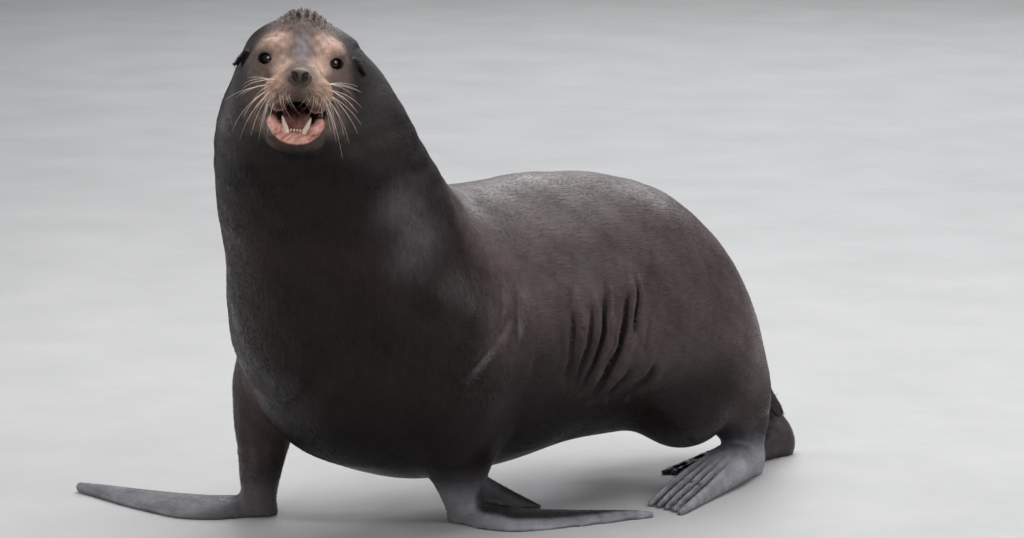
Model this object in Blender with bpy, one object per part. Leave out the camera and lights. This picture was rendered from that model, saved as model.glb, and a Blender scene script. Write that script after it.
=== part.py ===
"""A life-size still model of a male sea lion that stands on its fore flippers, head turned and mouth open.

The animal faces -Y, its left side is +X, and the floor that it stands on is z = 0. Everything is in metres.
One formula gives the whole body: tubes and ellipsoids that run smoothly into each other. Each piece that a
person would name is the part of that body inside a box, and thin cuts keep the pieces apart.
"""

import math

import bmesh
import bpy
import numpy as np
from mathutils import Matrix, Vector

# Driving dimensions
CUT_GAP = 0.0003
BODY_STEP = 0.009  # the grids that the body is meshed on
LIMB_STEP = 0.005
HEAD_STEP = 0.0036
BODY_TRIANGLES = 2000
LIMB_TRIANGLES = 3100
HEAD_TRIANGLES = 2500
EYE_RADIUS = 0.021
TONGUE_GAP = 0.0015
TAIL_GAP = 0.0030
FAR = 0.2  # stands for the distance of anything further off
REACH = 0.06  # how far round a form its formula is used

# The head's place and turn. In its own frame the origin is between the eyes and the nose points to -Y.
STAND = (0.1267, -0.1150, 0)  # brings the middle of the animal over the origin
EYES_MIDDLE = (0.149, -0.557, 1.006)
HEAD_TURN = 56  # degrees towards the animal's left
HEAD_LIFT = 7
HEAD_ROLL = 4.8
EYE_PLACE = (0.060, 0.012, 0.0)
SOCKET, SOCKET_RADII = (0.073, -0.010, 0.0), (0.017, 0.018, 0.013)  # the hollow between the lids

# Rows along y: (y, middle x, middle z, half width, half height)
TRUNK = (
    (-0.52, 0, 0.410, 0.120, 0.130), (-0.47, 0, 0.405, 0.200, 0.220), (-0.38, 0, 0.400, 0.250, 0.270),
    (-0.20, 0, 0.387, 0.278, 0.308), (0.00, 0, 0.391, 0.280, 0.306), (0.18, 0, 0.408, 0.270, 0.296),
    (0.34, 0, 0.403, 0.252, 0.287), (0.47, 0, 0.380, 0.229, 0.265), (0.57, 0, 0.339, 0.201, 0.236),
    (0.64, 0, 0.291, 0.168, 0.202), (0.69, 0, 0.241, 0.132, 0.161), (0.73, 0, 0.194, 0.086, 0.110),
    (0.755, 0, 0.165, 0.040, 0.060),
)
TAIL = (
    (0.64, 0.010, 0.255, 0.072, 0.068), (0.71, 0.012, 0.212, 0.046, 0.055),
    (0.772, 0.016, 0.166, 0.030, 0.038),
    (0.812, 0.020, 0.124, 0.020, 0.023), (0.832, 0.022, 0.100, 0.010, 0.011),
)
# Rows along z: (z, middle x, middle y, half width, half depth)
NECK = (
    (0.20, 0, -0.290, 0.100, 0.090), (0.28, 0, -0.300, 0.195, 0.195), (0.36, 0, -0.306, 0.248, 0.262),
    (0.472, 0.002, -0.310, 0.265, 0.285), (0.585, 0.013, -0.333, 0.251, 0.280),
    (0.699, 0.024, -0.387, 0.231, 0.256),
    (0.814, 0.041, -0.440, 0.203, 0.223), (0.902, 0.038, -0.456, 0.183, 0.188),
    (0.970, 0.026, -0.452, 0.145, 0.147),
    (1.020, 0.022, -0.455, 0.094, 0.094),
)
SHOULDERS = {1: (0.165, -0.21, 0.40), -1: (-0.165, -0.27, 0.40)}
SHOULDER_RADII = (0.122, 0.150, 0.190)
FORE_ARMS = {
    1: ((-0.02, 0.134, -0.130, 0.024, 0.028), (0.05, 0.138, -0.146, 0.034, 0.048),
        (0.12, 0.168, -0.174, 0.049, 0.072),
        (0.20, 0.205, -0.200, 0.070, 0.092), (0.30, 0.205, -0.230, 0.090, 0.115),
        (0.40, 0.180, -0.250, 0.080, 0.100)),
    -1: ((-0.02, -0.182, -0.440, 0.026, 0.030), (0.05, -0.186, -0.441, 0.033, 0.042),
         (0.12, -0.205, -0.421, 0.042, 0.057),
         (0.20, -0.224, -0.392, 0.060, 0.082), (0.30, -0.221, -0.365, 0.083, 0.110),
         (0.40, -0.205, -0.362, 0.080, 0.105)),
}
# The fore flippers lie out from the wrist: (wrist, degrees from the tail to the side, length, rise)
FLIPPERS = {1: ((0.126, -0.146), 36, 0.91, 0), -1: ((-0.178, -0.442), 117, 1.045, 0.008)}
# (distance from the wrist, leading edge, trailing edge, thickness), for a flipper of full length
BLADE = (
    (-0.018, 0.004, -0.022, 0.014), (-0.004, 0.016, -0.036, 0.030), (0.018, 0.044, -0.054, 0.040),
    (0.060, 0.090, -0.066, 0.037), (0.130, 0.113, -0.068, 0.029), (0.210, 0.090, -0.066, 0.023),
    (0.310, 0.048, -0.060, 0.018), (0.400, 0.002, -0.050, 0.014), (0.455, -0.026, -0.044, 0.010),
)
# The hind edge of the left fore flipper curls up behind the wrist
FLIPPER_FOLD = (
    (-0.030, -0.040, 0.060, 0.020, 0.040), (0.020, -0.055, 0.060, 0.030, 0.050),
    (0.070, -0.076, 0.042, 0.030, 0.034), (0.120, -0.090, 0.024, 0.024, 0.021),
    (0.160, -0.096, 0.012, 0.014, 0.011), (0.176, -0.097, 0.008, 0.007, 0.006),
)
THIGH, THIGH_RADII = (0.125, 0.465, 0.185), (0.085, 0.125, 0.100)
HIND_LEGS = {
    1: ((-0.02, 0.100, 0.655, 0.038, 0.043), (0.06, 0.100, 0.658, 0.042, 0.048),
        (0.12, 0.102, 0.640, 0.060, 0.073),
        (0.20, 0.105, 0.600, 0.082, 0.108), (0.30, 0.100, 0.550, 0.085, 0.115),
        (0.40, 0.090, 0.500, 0.050, 0.060)),
    -1: ((-0.02, -0.024, 0.856, 0.036, 0.038), (0.05, -0.030, 0.856, 0.040, 0.046),
         (0.11, -0.050, 0.792, 0.052, 0.070),
         (0.18, -0.080, 0.700, 0.075, 0.095), (0.30, -0.100, 0.550, 0.085, 0.115),
         (0.40, -0.090, 0.500, 0.050, 0.060)),
}
# (heel, degrees from straight ahead to the animal's left, size)
FEET = {1: ((0.100, 0.655), 28, 0.95), -1: ((-0.024, 0.856), 10, 0.72)}
FOOT = (
    (-0.062, 0, 0.028, 0.024, 0.026), (-0.030, 0, 0.034, 0.044, 0.044), (0.050, 0, 0.036, 0.058, 0.050),
    (0.130, 0, 0.030, 0.064, 0.044), (0.210, 0, 0.021, 0.062, 0.034), (0.300, 0, 0.011, 0.058, 0.022),
    (0.370, 0, 0.005, 0.054, 0.013), (0.410, 0, 0.003, 0.050, 0.008), (0.430, 0, 0.001, 0.040, 0.004),
)
# (across, length)
TOES = ((-0.044, 0.440), (-0.022, 0.450), (0.000, 0.460), (0.022, 0.475), (0.045, 0.495))

# The head, in its own frame
CREST = ((0, 0.078, 0.056), (0.044, 0.078, 0.050), 0.03)
# (middle, radii, blend); a middle with an x of its own stands on both sides
SKULL = (
    ((0, 0.120, -0.110), (0.105, 0.110, 0.095), 0.06),
    ((0, 0.112, 0.000), (0.117, 0.132, 0.094), 0.06),
    ((0.068, 0.060, -0.042), (0.046, 0.080, 0.062), 0.05),
    CREST,
    ((0, 0.032, 0.012), (0.064, 0.060, 0.050), 0.03),
    ((0.054, 0.012, 0.026), (0.028, 0.028, 0.016), 0.02),
)
MUZZLE = (
    (-0.129, 0, -0.048, 0.014, 0.014), (-0.123, 0, -0.049, 0.028, 0.027), (-0.108, 0, -0.049, 0.038, 0.036),
    (-0.078, 0, -0.045, 0.043, 0.041), (-0.040, 0, -0.038, 0.047, 0.044), (0.000, 0, -0.033, 0.058, 0.048),
    (0.050, 0, -0.035, 0.072, 0.055),
)
SNOUT = (
    ((0.034, -0.082, -0.058), (0.033, 0.044, 0.031), 0.015),
    ((0.048, -0.042, -0.072), (0.020, 0.055, 0.028), 0.018),
    ((0, -0.121, -0.034), (0.023, 0.014, 0.019), 0.006),
)
JAW = (
    (-0.108, 0, -0.174, 0.016, 0.007), (-0.102, 0, -0.172, 0.037, 0.013), (-0.086, 0, -0.166, 0.055, 0.021),
    (-0.056, 0, -0.153, 0.063, 0.032), (-0.016, 0, -0.137, 0.067, 0.040), (0.030, 0, -0.120, 0.071, 0.048),
    (0.090, 0, -0.095, 0.080, 0.060),
)
MOUTH = (
    (-0.160, 0, -0.126, 0.068, 0.046), (-0.110, 0, -0.124, 0.061, 0.040), (-0.070, 0, -0.117, 0.059, 0.036),
    (-0.030, 0, -0.105, 0.055, 0.030), (0.010, 0, -0.092, 0.043, 0.021), (0.045, 0, -0.084, 0.025, 0.013),
    (0.060, 0, -0.081, 0.008, 0.005),
)
TONGUE = (
    (-0.075, 0, -0.147, 0.010, 0.005), (-0.066, 0, -0.144, 0.022, 0.010), (-0.040, 0, -0.133, 0.030, 0.014),
    (-0.010, 0, -0.116, 0.030, 0.015), (0.020, 0, -0.103, 0.024, 0.012), (0.036, 0, -0.096, 0.012, 0.006),
)
# The upper lip hangs over each side of the open mouth
LIPS = (((0.037, -0.088, -0.085), (0.022, 0.032, 0.020), 0.010),)
# The gums fill the jaw between the teeth and the cheeks, and in front of the tongue
GUMS = (
    ((0.036, -0.066, -0.140), (0.017, 0.036, 0.017), 0.008),
    ((0.047, -0.054, -0.127), (0.013, 0.034, 0.016), 0.008),
    ((0, -0.085, -0.160), (0.037, 0.020, 0.020), 0.010),
)
# (x, y, z at the root, height) of the lower teeth that the open mouth shows
CANINES = (0.0180, -0.084, -0.146, 0.034)
# Rows along the ear: (distance, middle x, middle z, half width, half thickness)
EAR = ((-0.012, 0, 0, 0.008, 0.006), (0.010, 0, 0, 0.0095, 0.0065), (0.024, 0, 0, 0.008, 0.0055),
       (0.035, 0, 0, 0.0035, 0.003))
EAR_PLACE = (0.114, 0.038, 0.006)
EAR_TURN = (-62, 48)  # degrees about Z from straight back, then tip down
FIT_GAP = 0.0014  # between the head and an ear


def smooth_rows(rows, steps=6):
    """The rows with others between them, along a Catmull-Rom curve."""
    rows = np.array(rows, float)
    ends = np.vstack([2 * rows[0] - rows[1], rows, 2 * rows[-1] - rows[-2]])
    made = []
    for before, here, there, after in zip(ends, ends[1:], ends[2:], ends[3:]):
        for t in np.arange(steps) / steps:
            bend = (2 * before - 5 * here + 4 * there - after) * t**2
            twist = (3 * here - before - 3 * there + after) * t**3
            made.append(0.5 * (2 * here + (there - before) * t + bend + twist))
    made.append(rows[-1])
    made = np.array(made)
    made[:, 3:] = np.maximum(made[:, 3:], 0.001)
    return made


def place_at(spot, turn=0, lift=0, roll=0):
    """The matrix of a frame at a spot, turned about Z, then lifted nose up, then rolled, in degrees."""
    turned = Matrix.Rotation(math.radians(turn), 4, "Z") @ Matrix.Rotation(math.radians(-lift), 4, "X")
    return np.array(Matrix.Translation(Vector(spot)) @ turned @ Matrix.Rotation(math.radians(roll), 4, "Y"))


HEAD = place_at(EYES_MIDDLE, HEAD_TURN, HEAD_LIFT, HEAD_ROLL)
WORLD = np.eye(4)


def ellipsoid(radii):
    """The box and the formula of an ellipsoid about the origin of its frame."""
    radii = np.array(radii)

    def outside(p):
        near = np.linalg.norm(p / radii, axis=1)
        return near * (near - 1) / np.maximum(np.linalg.norm(p / radii**2, axis=1), 1e-6)

    return -radii, radii, outside


def tube(rows, along):
    """The box and the formula of a tube of elliptical sections, whose rows are spaced along axis 1 or 2."""
    rows = smooth_rows(rows)
    second = 3 - along
    low, high = np.zeros(3), np.zeros(3)
    low[along], high[along] = rows[0, 0], rows[-1, 0]
    for axis, middle, half in ((0, 1, 3), (second, 2, 4)):
        low[axis] = (rows[:, middle] - rows[:, half]).min()
        high[axis] = (rows[:, middle] + rows[:, half]).max()

    def outside(p):
        held = np.clip(p[:, along], rows[0, 0], rows[-1, 0])
        x, y, wide, deep = (np.interp(held, rows[:, 0], rows[:, column]) for column in range(1, 5))
        u, v = (p[:, 0] - x) / wide, (p[:, second] - y) / deep
        near, steep = np.hypot(u, v), np.hypot(u / wide, v / deep)
        found = np.where(near > 1e-4, near * (near - 1) / np.maximum(steep, 1e-6), -np.minimum(wide, deep))
        past = np.abs(p[:, along] - held)
        end = np.minimum(p[:, along] - rows[0, 0], rows[-1, 0] - p[:, along])
        return np.where(past > 0, np.hypot(np.maximum(found, 0), past), np.maximum(found, -end))

    return low, high, outside


def beside(frame, spot, side):
    """The frame moved to a spot that is given for the left side of it."""
    moved = frame.copy()
    moved[:, 3] = frame @ np.array((side * spot[0], spot[1], spot[2], 1))
    return moved


def both_sides(rows):
    """Head forms of (middle, radii, blend), each on both sides when it is off the middle."""
    return [
        (beside(HEAD, middle, side), ellipsoid(radii), blend, False)
        for middle, radii, blend in rows
        for side in ((1, -1) if middle[0] else (1,))
    ]


def foot_frame(side):
    heel, heading, size = FEET[side]
    frame = place_at((*heel, 0), 180 + heading)
    frame[:3, :3] *= size
    return frame


def flipper_frame(side):
    wrist, heading = FLIPPERS[side][:2]
    frame = place_at((*wrist, 0), -side * heading)
    frame[:3, 0] *= side
    return frame


def ear_frame(side):
    turn, lift = EAR_TURN
    return beside(HEAD, EAR_PLACE, side) @ place_at((0, 0, 0), side * turn, lift)


def limb_forms(side):
    length, rise = FLIPPERS[side][2:]
    blade = [
        (out * length, (lead + trail) / 2, rise * max(out, 0) / BLADE[-1][0], (lead - trail) / 2, thick)
        for out, lead, trail, thick in BLADE
    ]
    forms = [
        (place_at(SHOULDERS[side]), ellipsoid(SHOULDER_RADII), 0.05, False),
        (WORLD, tube(FORE_ARMS[side], 2), 0.05, False),
        (flipper_frame(side), tube(blade, 1), 0.03, False),
        (place_at((side * THIGH[0], *THIGH[1:])), ellipsoid(THIGH_RADII), 0.05, False),
        (WORLD, tube(HIND_LEGS[side], 2), 0.05, False),
        (foot_frame(side), tube(FOOT, 1), 0.015, False),
    ]
    if side == 1:
        forms.append((flipper_frame(side), tube(FLIPPER_FOLD, 1), 0.025, False))
    for across, length in TOES:
        across *= -side
        toe = (
            (0.08, across * 0.6, 0.050, 0.010, 0.024), (0.20, across * 0.9, 0.037, 0.0115, 0.022),
            (0.32, across * 1.02, 0.021, 0.0120, 0.018),
            (length - 0.025, across * 1.08, 0.007, 0.0115, 0.010),
            (length, across * 1.10, 0.003, 0.005, 0.005),
        )
        forms.append((foot_frame(side), tube(toe, 1), 0.007, False))
    return forms


def head_forms():
    """The forms of the head, then those carved out of it."""
    forms = both_sides(SKULL)
    forms.append((HEAD, tube(MUZZLE, 1), 0.035, False))
    forms += both_sides(SNOUT)
    forms.append((HEAD, tube(JAW, 1), 0.016, False))
    forms.append((HEAD, tube(MOUTH, 1), 0.006, True))
    forms += both_sides(LIPS) + both_sides(GUMS)
    x, y, z, height = CANINES
    for side in (1, -1):
        tooth = beside(HEAD, (x, y, z), side) @ place_at((0, 0, 0), 0, 8, side * 18)
        rows = (
            (-0.010, 0, 0, 0.008, 0.008), (0, 0, 0, 0.0075, 0.008),
            (height * 0.6, 0, 0, 0.0055, 0.006), (height, 0, 0, 0.002, 0.002),
        )
        forms.append((tooth, tube(rows, 2), 0.003, False))
    for side in (1, -1):
        forms.append((beside(HEAD, SOCKET, side), ellipsoid(SOCKET_RADII), 0.008, True))
    return forms


def body_forms():
    """(frame, shape, blend, carved) of each form of the body, in the order in which they join."""
    forms = [(WORLD, tube(TRUNK, 1), 0.04, False), (WORLD, tube(NECK, 2), 0.06, False)]
    for side in (1, -1):
        forms += limb_forms(side)
    return forms + head_forms()


def corners_of(frame, low, high):
    """The corners of a box in a frame."""
    ends = np.array([low, high])
    corners = np.array([(ends[i, 0], ends[j, 1], ends[k, 2]) for i in (0, 1) for j in (0, 1) for k in (0, 1)])
    return corners @ frame[:3, :3].T + frame[:3, 3]


def smooth_min(a, b, blend):
    share = np.clip(0.5 + 0.5 * (b - a) / blend, 0, 1)
    return b + (a - b) * share - blend * share * (1 - share)


def outside_body(points, forms):
    """How far each point is outside the body, and less than nothing inside it."""
    found = np.full(len(points), FAR)
    for frame, (low, high, outside), blend, carved in forms:
        back = np.linalg.inv(frame)
        corners = corners_of(frame, low, high)
        reach = 0.02 if carved else REACH
        near = ((points > corners.min(0) - reach) & (points < corners.max(0) + reach)).all(1)
        if not near.any():
            continue
        here = outside(points[near] @ back[:3, :3].T + back[:3, 3])
        if carved:
            found[near] = -smooth_min(-found[near], here, blend)
        else:
            found[near] = smooth_min(found[near], here, blend)
    return found


def values_on(axes, formula):
    """The formula on a grid, worked out in full only near the surface."""
    coarse = 4
    sizes = [len(axis) // coarse for axis in axes]
    middles = [axis[: n * coarse].reshape(n, coarse).mean(1) for axis, n in zip(axes, sizes)]
    spots = np.stack(np.meshgrid(*middles, indexing="ij"), -1).reshape(-1, 3)
    rough = formula(spots).reshape(sizes)
    step = axes[0][1] - axes[0][0]
    close = np.abs(rough) < coarse * step * 1.5
    for axis in range(3):
        close, rough = np.repeat(close, coarse, axis), np.repeat(rough, coarse, axis)
    values = np.where(rough < 0, -FAR, FAR)
    index = np.argwhere(close)
    spots = np.stack([axes[k][index[:, k]] for k in range(3)], -1)
    values[close] = formula(spots)
    return values


def fill_corners(values):
    """Fills the spots where the form would touch itself only along an edge or at a corner."""
    for _ in range(12):
        inside = values < 0
        fills = np.zeros(values.shape, bool)
        for u, v in ((0, 1), (0, 2), (1, 2)):
            corner = []
            for du, dv in ((0, 0), (1, 0), (1, 1), (0, 1)):
                here = [slice(None)] * 3
                here[u], here[v] = slice(du, None if du else -1), slice(dv, None if dv else -1)
                corner.append(tuple(here))
            a, b, c, d = (inside[k] for k in corner)
            fills[corner[1]] |= a & c & ~b & ~d
            fills[corner[0]] |= b & d & ~a & ~c
        cube = {
            (i, j, k): tuple(slice(1, None) if far else slice(None, -1) for far in (i, j, k))
            for i in (0, 1) for j in (0, 1) for k in (0, 1)
        }
        for corner in cube:
            other = tuple(1 - far for far in corner)
            if corner > other:
                continue
            rest = [inside[where] for key, where in cube.items() if key not in (corner, other)]
            ends = inside[cube[corner]], inside[cube[other]]
            near = (1 - corner[0], corner[1], corner[2])
            fills[cube[near]] |= ends[0] & ends[1] & ~np.logical_or.reduce(rest)
            fills[cube[corner]] |= ~ends[0] & ~ends[1] & np.logical_and.reduce(rest)
        if not fills.any():
            break
        values[fills] = -1e-4
    return values


def surface_of(values, axes):
    """(points, quads) of the surface where the values change sign, one point to each cell it crosses."""
    shape = np.array(values.shape) - 1
    cells, spots, rings = [], [], []
    for axis in range(3):
        near = values[tuple(slice(0, -1) if k == axis else slice(None) for k in range(3))]
        far = values[tuple(slice(1, None) if k == axis else slice(None) for k in range(3))]
        index = np.argwhere((near < 0) != (far < 0))
        first, second = near[tuple(index.T)], far[tuple(index.T)]
        share = first / (first - second)
        spot = np.stack([axes[k][index[:, k]] for k in range(3)], -1)
        spot[:, axis] += share * (axes[axis][1] - axes[axis][0])
        u, v = (axis + 1) % 3, (axis + 2) % 3
        ring = []
        inner = np.ones(len(index), bool)
        for du, dv in ((0, 0), (1, 0), (1, 1), (0, 1)):
            cell = index.copy()
            cell[:, u] -= du
            cell[:, v] -= dv
            inner &= ((cell >= 0) & (cell < shape)).all(1)
            ring.append(cell)
        for cell in ring:
            cells.append(np.ravel_multi_index(cell[inner].T, shape))
            spots.append(spot[inner])
        flip = first[inner] < 0
        quad = np.stack([np.ravel_multi_index(cell[inner].T, shape) for cell in ring], 1)
        quad[~flip] = quad[~flip][:, ::-1]
        rings.append(quad)
    cells, spots = np.concatenate(cells), np.concatenate(spots)
    used, inverse = np.unique(cells, return_inverse=True)
    count = np.bincount(inverse)
    points = np.stack([np.bincount(inverse, spots[:, k]) / count for k in range(3)], -1)
    return points, np.searchsorted(used, np.concatenate(rings))


def settle(points, formula, rounds=2):
    """The points moved onto the surface."""
    small = 0.0005
    for _ in range(rounds):
        found = formula(points)
        slope = np.stack([(formula(points + small * np.eye(3)[k]) - found) / small for k in range(3)], -1)
        length = np.maximum((slope**2).sum(1), 0.05)
        points = points - np.clip(found / length, -0.004, 0.004)[:, None] * slope
    return points


def clear_scene():
    for old in list(bpy.data.objects):
        bpy.data.objects.remove(old)


def mesh_object(name, points, faces):
    data = bpy.data.meshes.new(name)
    data.from_pydata(points.tolist(), [], faces.tolist())
    made = bpy.data.objects.new(name, data)
    bpy.context.scene.collection.objects.link(made)
    return made


def formed(name, low, high, step, formula, triangles):
    """A closed mesh of a formula's form inside a box, thinned to about so many triangles."""
    axes = [np.arange(a - 2 * step, b + 6 * step, step) for a, b in zip(low, high)]
    axes = [axis[: len(axis) // 4 * 4] for axis in axes]
    values = values_on(axes, formula)
    for axis in range(3):
        for end in (0, -1):
            np.moveaxis(values, axis, 0)[end] = FAR
    points, quads = surface_of(fill_corners(values), axes)
    first, last = (np.array([axis[end] for axis in axes]) for end in (1, -2))
    inner = ((points > first) & (points < last)).all(1)
    points[inner] = settle(points[inner], formula)
    made = mesh_object(name, points, quads)
    thin = made.modifiers.new("thin", "DECIMATE")
    thin.ratio = min(1, triangles / (2 * len(quads)))
    return made


def hide(made):
    made.hide_render = True
    made.display_type = "WIRE"
    return made


def block(name, frame, low, high):
    """A cutter: a box in a frame."""
    mesh = bmesh.new()
    size = np.array(high) - low
    box = Matrix.Translation(Vector((np.array(low) + high) / 2)) @ Matrix.Diagonal((*size, 1))
    bmesh.ops.create_cube(mesh, size=1, matrix=Matrix(frame.tolist()) @ box)
    bmesh.ops.recalc_face_normals(mesh, faces=mesh.faces)
    data = bpy.data.meshes.new(name)
    mesh.to_mesh(data)
    mesh.free()
    made = bpy.data.objects.new(name, data)
    bpy.context.scene.collection.objects.link(made)
    return hide(made)


def cut(made, cutter, operation="DIFFERENCE"):
    knife = made.modifiers.new(cutter.name, "BOOLEAN")
    knife.object = cutter
    knife.operation = operation
    knife.solver = "EXACT"


def ball(name, radius, frame):
    mesh = bmesh.new()
    frame = Matrix(frame.tolist())
    bmesh.ops.create_uvsphere(mesh, u_segments=16, v_segments=12, radius=radius, matrix=frame)
    data = bpy.data.meshes.new(name)
    mesh.to_mesh(data)
    mesh.free()
    made = bpy.data.objects.new(name, data)
    bpy.context.scene.collection.objects.link(made)
    return made


def fitted(name, body, frame, rows, gap, box, step):
    """A tube in a frame that stops a gap short of the body, inside a box in that frame."""
    _, _, outside = tube(rows, 1)
    back = np.linalg.inv(frame)

    def formula(points):
        return np.maximum(outside(points @ back[:3, :3].T + back[:3, 3]), gap - body(points))

    corners = corners_of(frame, *box)
    return formed(name, corners.min(0), corners.max(0), step, formula, 180)


def paint(piece, colour, roughness):
    piece.data = piece.data.copy()
    material = bpy.data.materials.new(piece.name)
    material.use_nodes = True
    shader = material.node_tree.nodes["Principled BSDF"]
    shader.inputs["Base Color"].default_value = (*colour, 1)
    shader.inputs["Roughness"].default_value = roughness
    shader.inputs["Metallic"].default_value = 0
    piece.data.materials.append(material)
    piece.data.shade_smooth()


# The box of each piece, as (frame, low, high)
HEAD_BACK = HEAD @ place_at((0, 0.020, -0.210), 0, 23)  # the plane that parts the head from the neck
MOUTH_PLANE = HEAD @ place_at((0, -0.050, -0.1065))  # the plane that parts the jaws
NECK_BASE = place_at((0, -0.130, 0.700), 0, -30)
BOXES = {
    "head": (HEAD_BACK, (-0.3, -0.4, -0.065), (0.3, 0, 0.5)),
    "lower_jaw": (MOUTH_PLANE, (-0.3, -0.3, -0.3), (0.3, 0.3, 0)),
    "neck": (NECK_BASE, (-0.6, -0.8, 0), (0.6, 0.6, 0.8)),
    "trunk_fore": (WORLD, (-0.5, -0.8, 0.066), (0.5, 0.150, 0.9)),
    "trunk_rear": (WORLD, (-0.6, 0.150 + CUT_GAP, 0.080), (0.6, 1.0, 0.95)),
    "fore_arm_left": (WORLD, (0.112, -0.36, 0.062), (0.5, 0.02, 0.190)),
    "fore_arm_right": (WORLD, (-0.5, -0.60, 0.062), (-0.125, -0.27, 0.190)),
    "fore_flipper_left": (WORLD, (0.0, -0.5, 0), (0.6, 0.222, 0.062)),
    "fore_flipper_right": (WORLD, (-0.8, -0.9, 0), (-0.05, -0.20, 0.062)),
    "hind_leg_left": (WORLD, (0.030 + CUT_GAP, 0.50, 0.074), (0.4, 0.90, 0.165)),
    "hind_leg_right": (WORLD, (-0.4, 0.60, 0.074), (0.030, 1.0, 0.165)),
    "hind_flipper_left": (WORLD, (0.040, 0.223, 0), (0.6, 0.8, 0.074)),
    "hind_flipper_right": (WORLD, (-0.3, 0.3, 0), (0.040, 1.0, 0.074)),
}
# The body is meshed three times, fine enough for what is cut from it: (name, low, high, step, triangles)
FORMS = (
    ("body form", (-0.36, -0.66, 0.05), (0.36, 0.86, 1.10), BODY_STEP, BODY_TRIANGLES),
    ("limb form", (-0.72, -0.72, -0.03), (0.50, 0.90, 0.22), LIMB_STEP, LIMB_TRIANGLES),
    ("head form", (-0.12, -0.80, 0.70), (0.40, -0.33, 1.13), HEAD_STEP, HEAD_TRIANGLES),
)
# (name, what it is cut from, the boxes that keep it, the boxes of its neighbours)
PIECES = (
    ("head", "head form", ("head",), ("lower_jaw",)),
    ("lower_jaw", "head form", ("head", "lower_jaw"), ()),
    ("neck", "body form", ("neck",), ("head",)),
    ("trunk_fore", "body form", ("trunk_fore",), ("neck", "fore_arm_left", "fore_arm_right")),
    ("trunk_rear", "body form", ("trunk_rear",), ("hind_leg_left", "hind_leg_right")),
    ("fore_arm_left", "limb form", ("fore_arm_left",), ()),
    ("fore_arm_right", "limb form", ("fore_arm_right",), ()),
    ("fore_flipper_left", "limb form", ("fore_flipper_left",), ("fore_arm_left",)),
    ("fore_flipper_right", "limb form", ("fore_flipper_right",), ("fore_arm_right",)),
    ("hind_leg_left", "limb form", ("hind_leg_left",), ()),
    ("hind_leg_right", "limb form", ("hind_leg_right",), ()),
    ("hind_flipper_left", "limb form", ("hind_flipper_left",), ("hind_leg_left", "hind_flipper_right")),
    ("hind_flipper_right", "limb form", ("hind_flipper_right",), ("hind_leg_right",)),
)
TAIL_BOX = (-0.07, 0.65, 0.08), (0.09, 0.85, 0.33)
TONGUE_BOX = (-0.04, -0.08, -0.155), (0.04, 0.04, -0.08)
EAR_BOX = (-0.015, -0.015, -0.015), (0.015, 0.05, 0.015)

DARK, COAT, SKIN = (0.030, 0.022, 0.021), (0.085, 0.068, 0.064), (0.105, 0.095, 0.098)
# (colour, roughness) of each piece
COLOURS = {
    "head": ((0.130, 0.092, 0.072), 0.50), "lower_jaw": ((0.060, 0.042, 0.035), 0.50),
    "tongue": ((0.42, 0.17, 0.15), 0.30),
    "ear_left": ((0.055, 0.042, 0.038), 0.50), "ear_right": ((0.050, 0.040, 0.036), 0.50),
    "eye_left": ((0.010, 0.007, 0.006), 0.10), "eye_right": ((0.011, 0.007, 0.006), 0.10),
    "neck": (DARK, 0.42), "trunk_fore": ((0.045, 0.035, 0.033), 0.42), "trunk_rear": (COAT, 0.45),
    "tail": ((0.070, 0.050, 0.040), 0.50),
    "fore_arm_left": ((0.032, 0.023, 0.021), 0.40), "fore_arm_right": ((0.034, 0.025, 0.024), 0.40),
    "fore_flipper_left": (SKIN, 0.30), "fore_flipper_right": ((0.100, 0.092, 0.096), 0.30),
    "hind_leg_left": ((0.060, 0.048, 0.046), 0.42), "hind_leg_right": ((0.055, 0.042, 0.038), 0.42),
    "hind_flipper_left": ((0.120, 0.108, 0.110), 0.30), "hind_flipper_right": ((0.110, 0.100, 0.100), 0.30),
}


def build():
    clear_scene()
    forms = body_forms()

    def body(points):
        return outside_body(points, forms)

    sources = {
        name: hide(formed(name.replace(" ", "_"), low, high, step, body, triangles))
        for name, low, high, step, triangles in FORMS
    }
    exact = {name: block(name + "_box", *box) for name, box in BOXES.items()}
    grown = {
        name: block(name + "_gap", frame, np.array(low) - CUT_GAP, np.array(high) + CUT_GAP)
        for name, (frame, low, high) in BOXES.items()
    }
    made = {}
    for name, source, kept, parted in PIECES:
        piece = bpy.data.objects.new(name, sources[source].data)
        bpy.context.scene.collection.objects.link(piece)
        thin = piece.modifiers.new("thin", "DECIMATE")
        thin.ratio = sources[source].modifiers["thin"].ratio
        for box in kept:
            cut(piece, exact[box], "INTERSECT")
        for box in parted:
            cut(piece, grown[box])
        made[name] = piece
    made["tail"] = fitted("tail", body, WORLD, TAIL, TAIL_GAP, TAIL_BOX, 0.004)
    made["tongue"] = fitted("tongue", body, HEAD, TONGUE, TONGUE_GAP, TONGUE_BOX, 0.003)
    for side, word in ((1, "left"), (-1, "right")):
        frame = beside(HEAD, EYE_PLACE, side)
        made["ear_" + word] = fitted("ear_" + word, body, ear_frame(side), EAR, FIT_GAP, EAR_BOX, 0.002)
        made["eye_" + word] = ball("eye_" + word, EYE_RADIUS, frame)
        cut(made["head"], hide(ball("socket_" + word, EYE_RADIUS + 2 * CUT_GAP, frame)))
    for name, piece in made.items():
        paint(piece, *COLOURS[name])
    for whatever in bpy.data.objects:
        whatever.location = STAND


build()
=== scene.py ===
"""The looks of a life-size still model of a male sea lion: one wet skin with its folds, a short
flat coat, eyes with lids, tongue, teeth, whiskers and nails, on a plain pale floor.

The skin comes from the same tubes and ellipsoids as the CAD solids, a coat's depth inside them. They
are laid out in the form frame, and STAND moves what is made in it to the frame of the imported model.
"""

import math

import bmesh
import bpy
import numpy as np
from mathutils import Matrix, Vector


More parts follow.
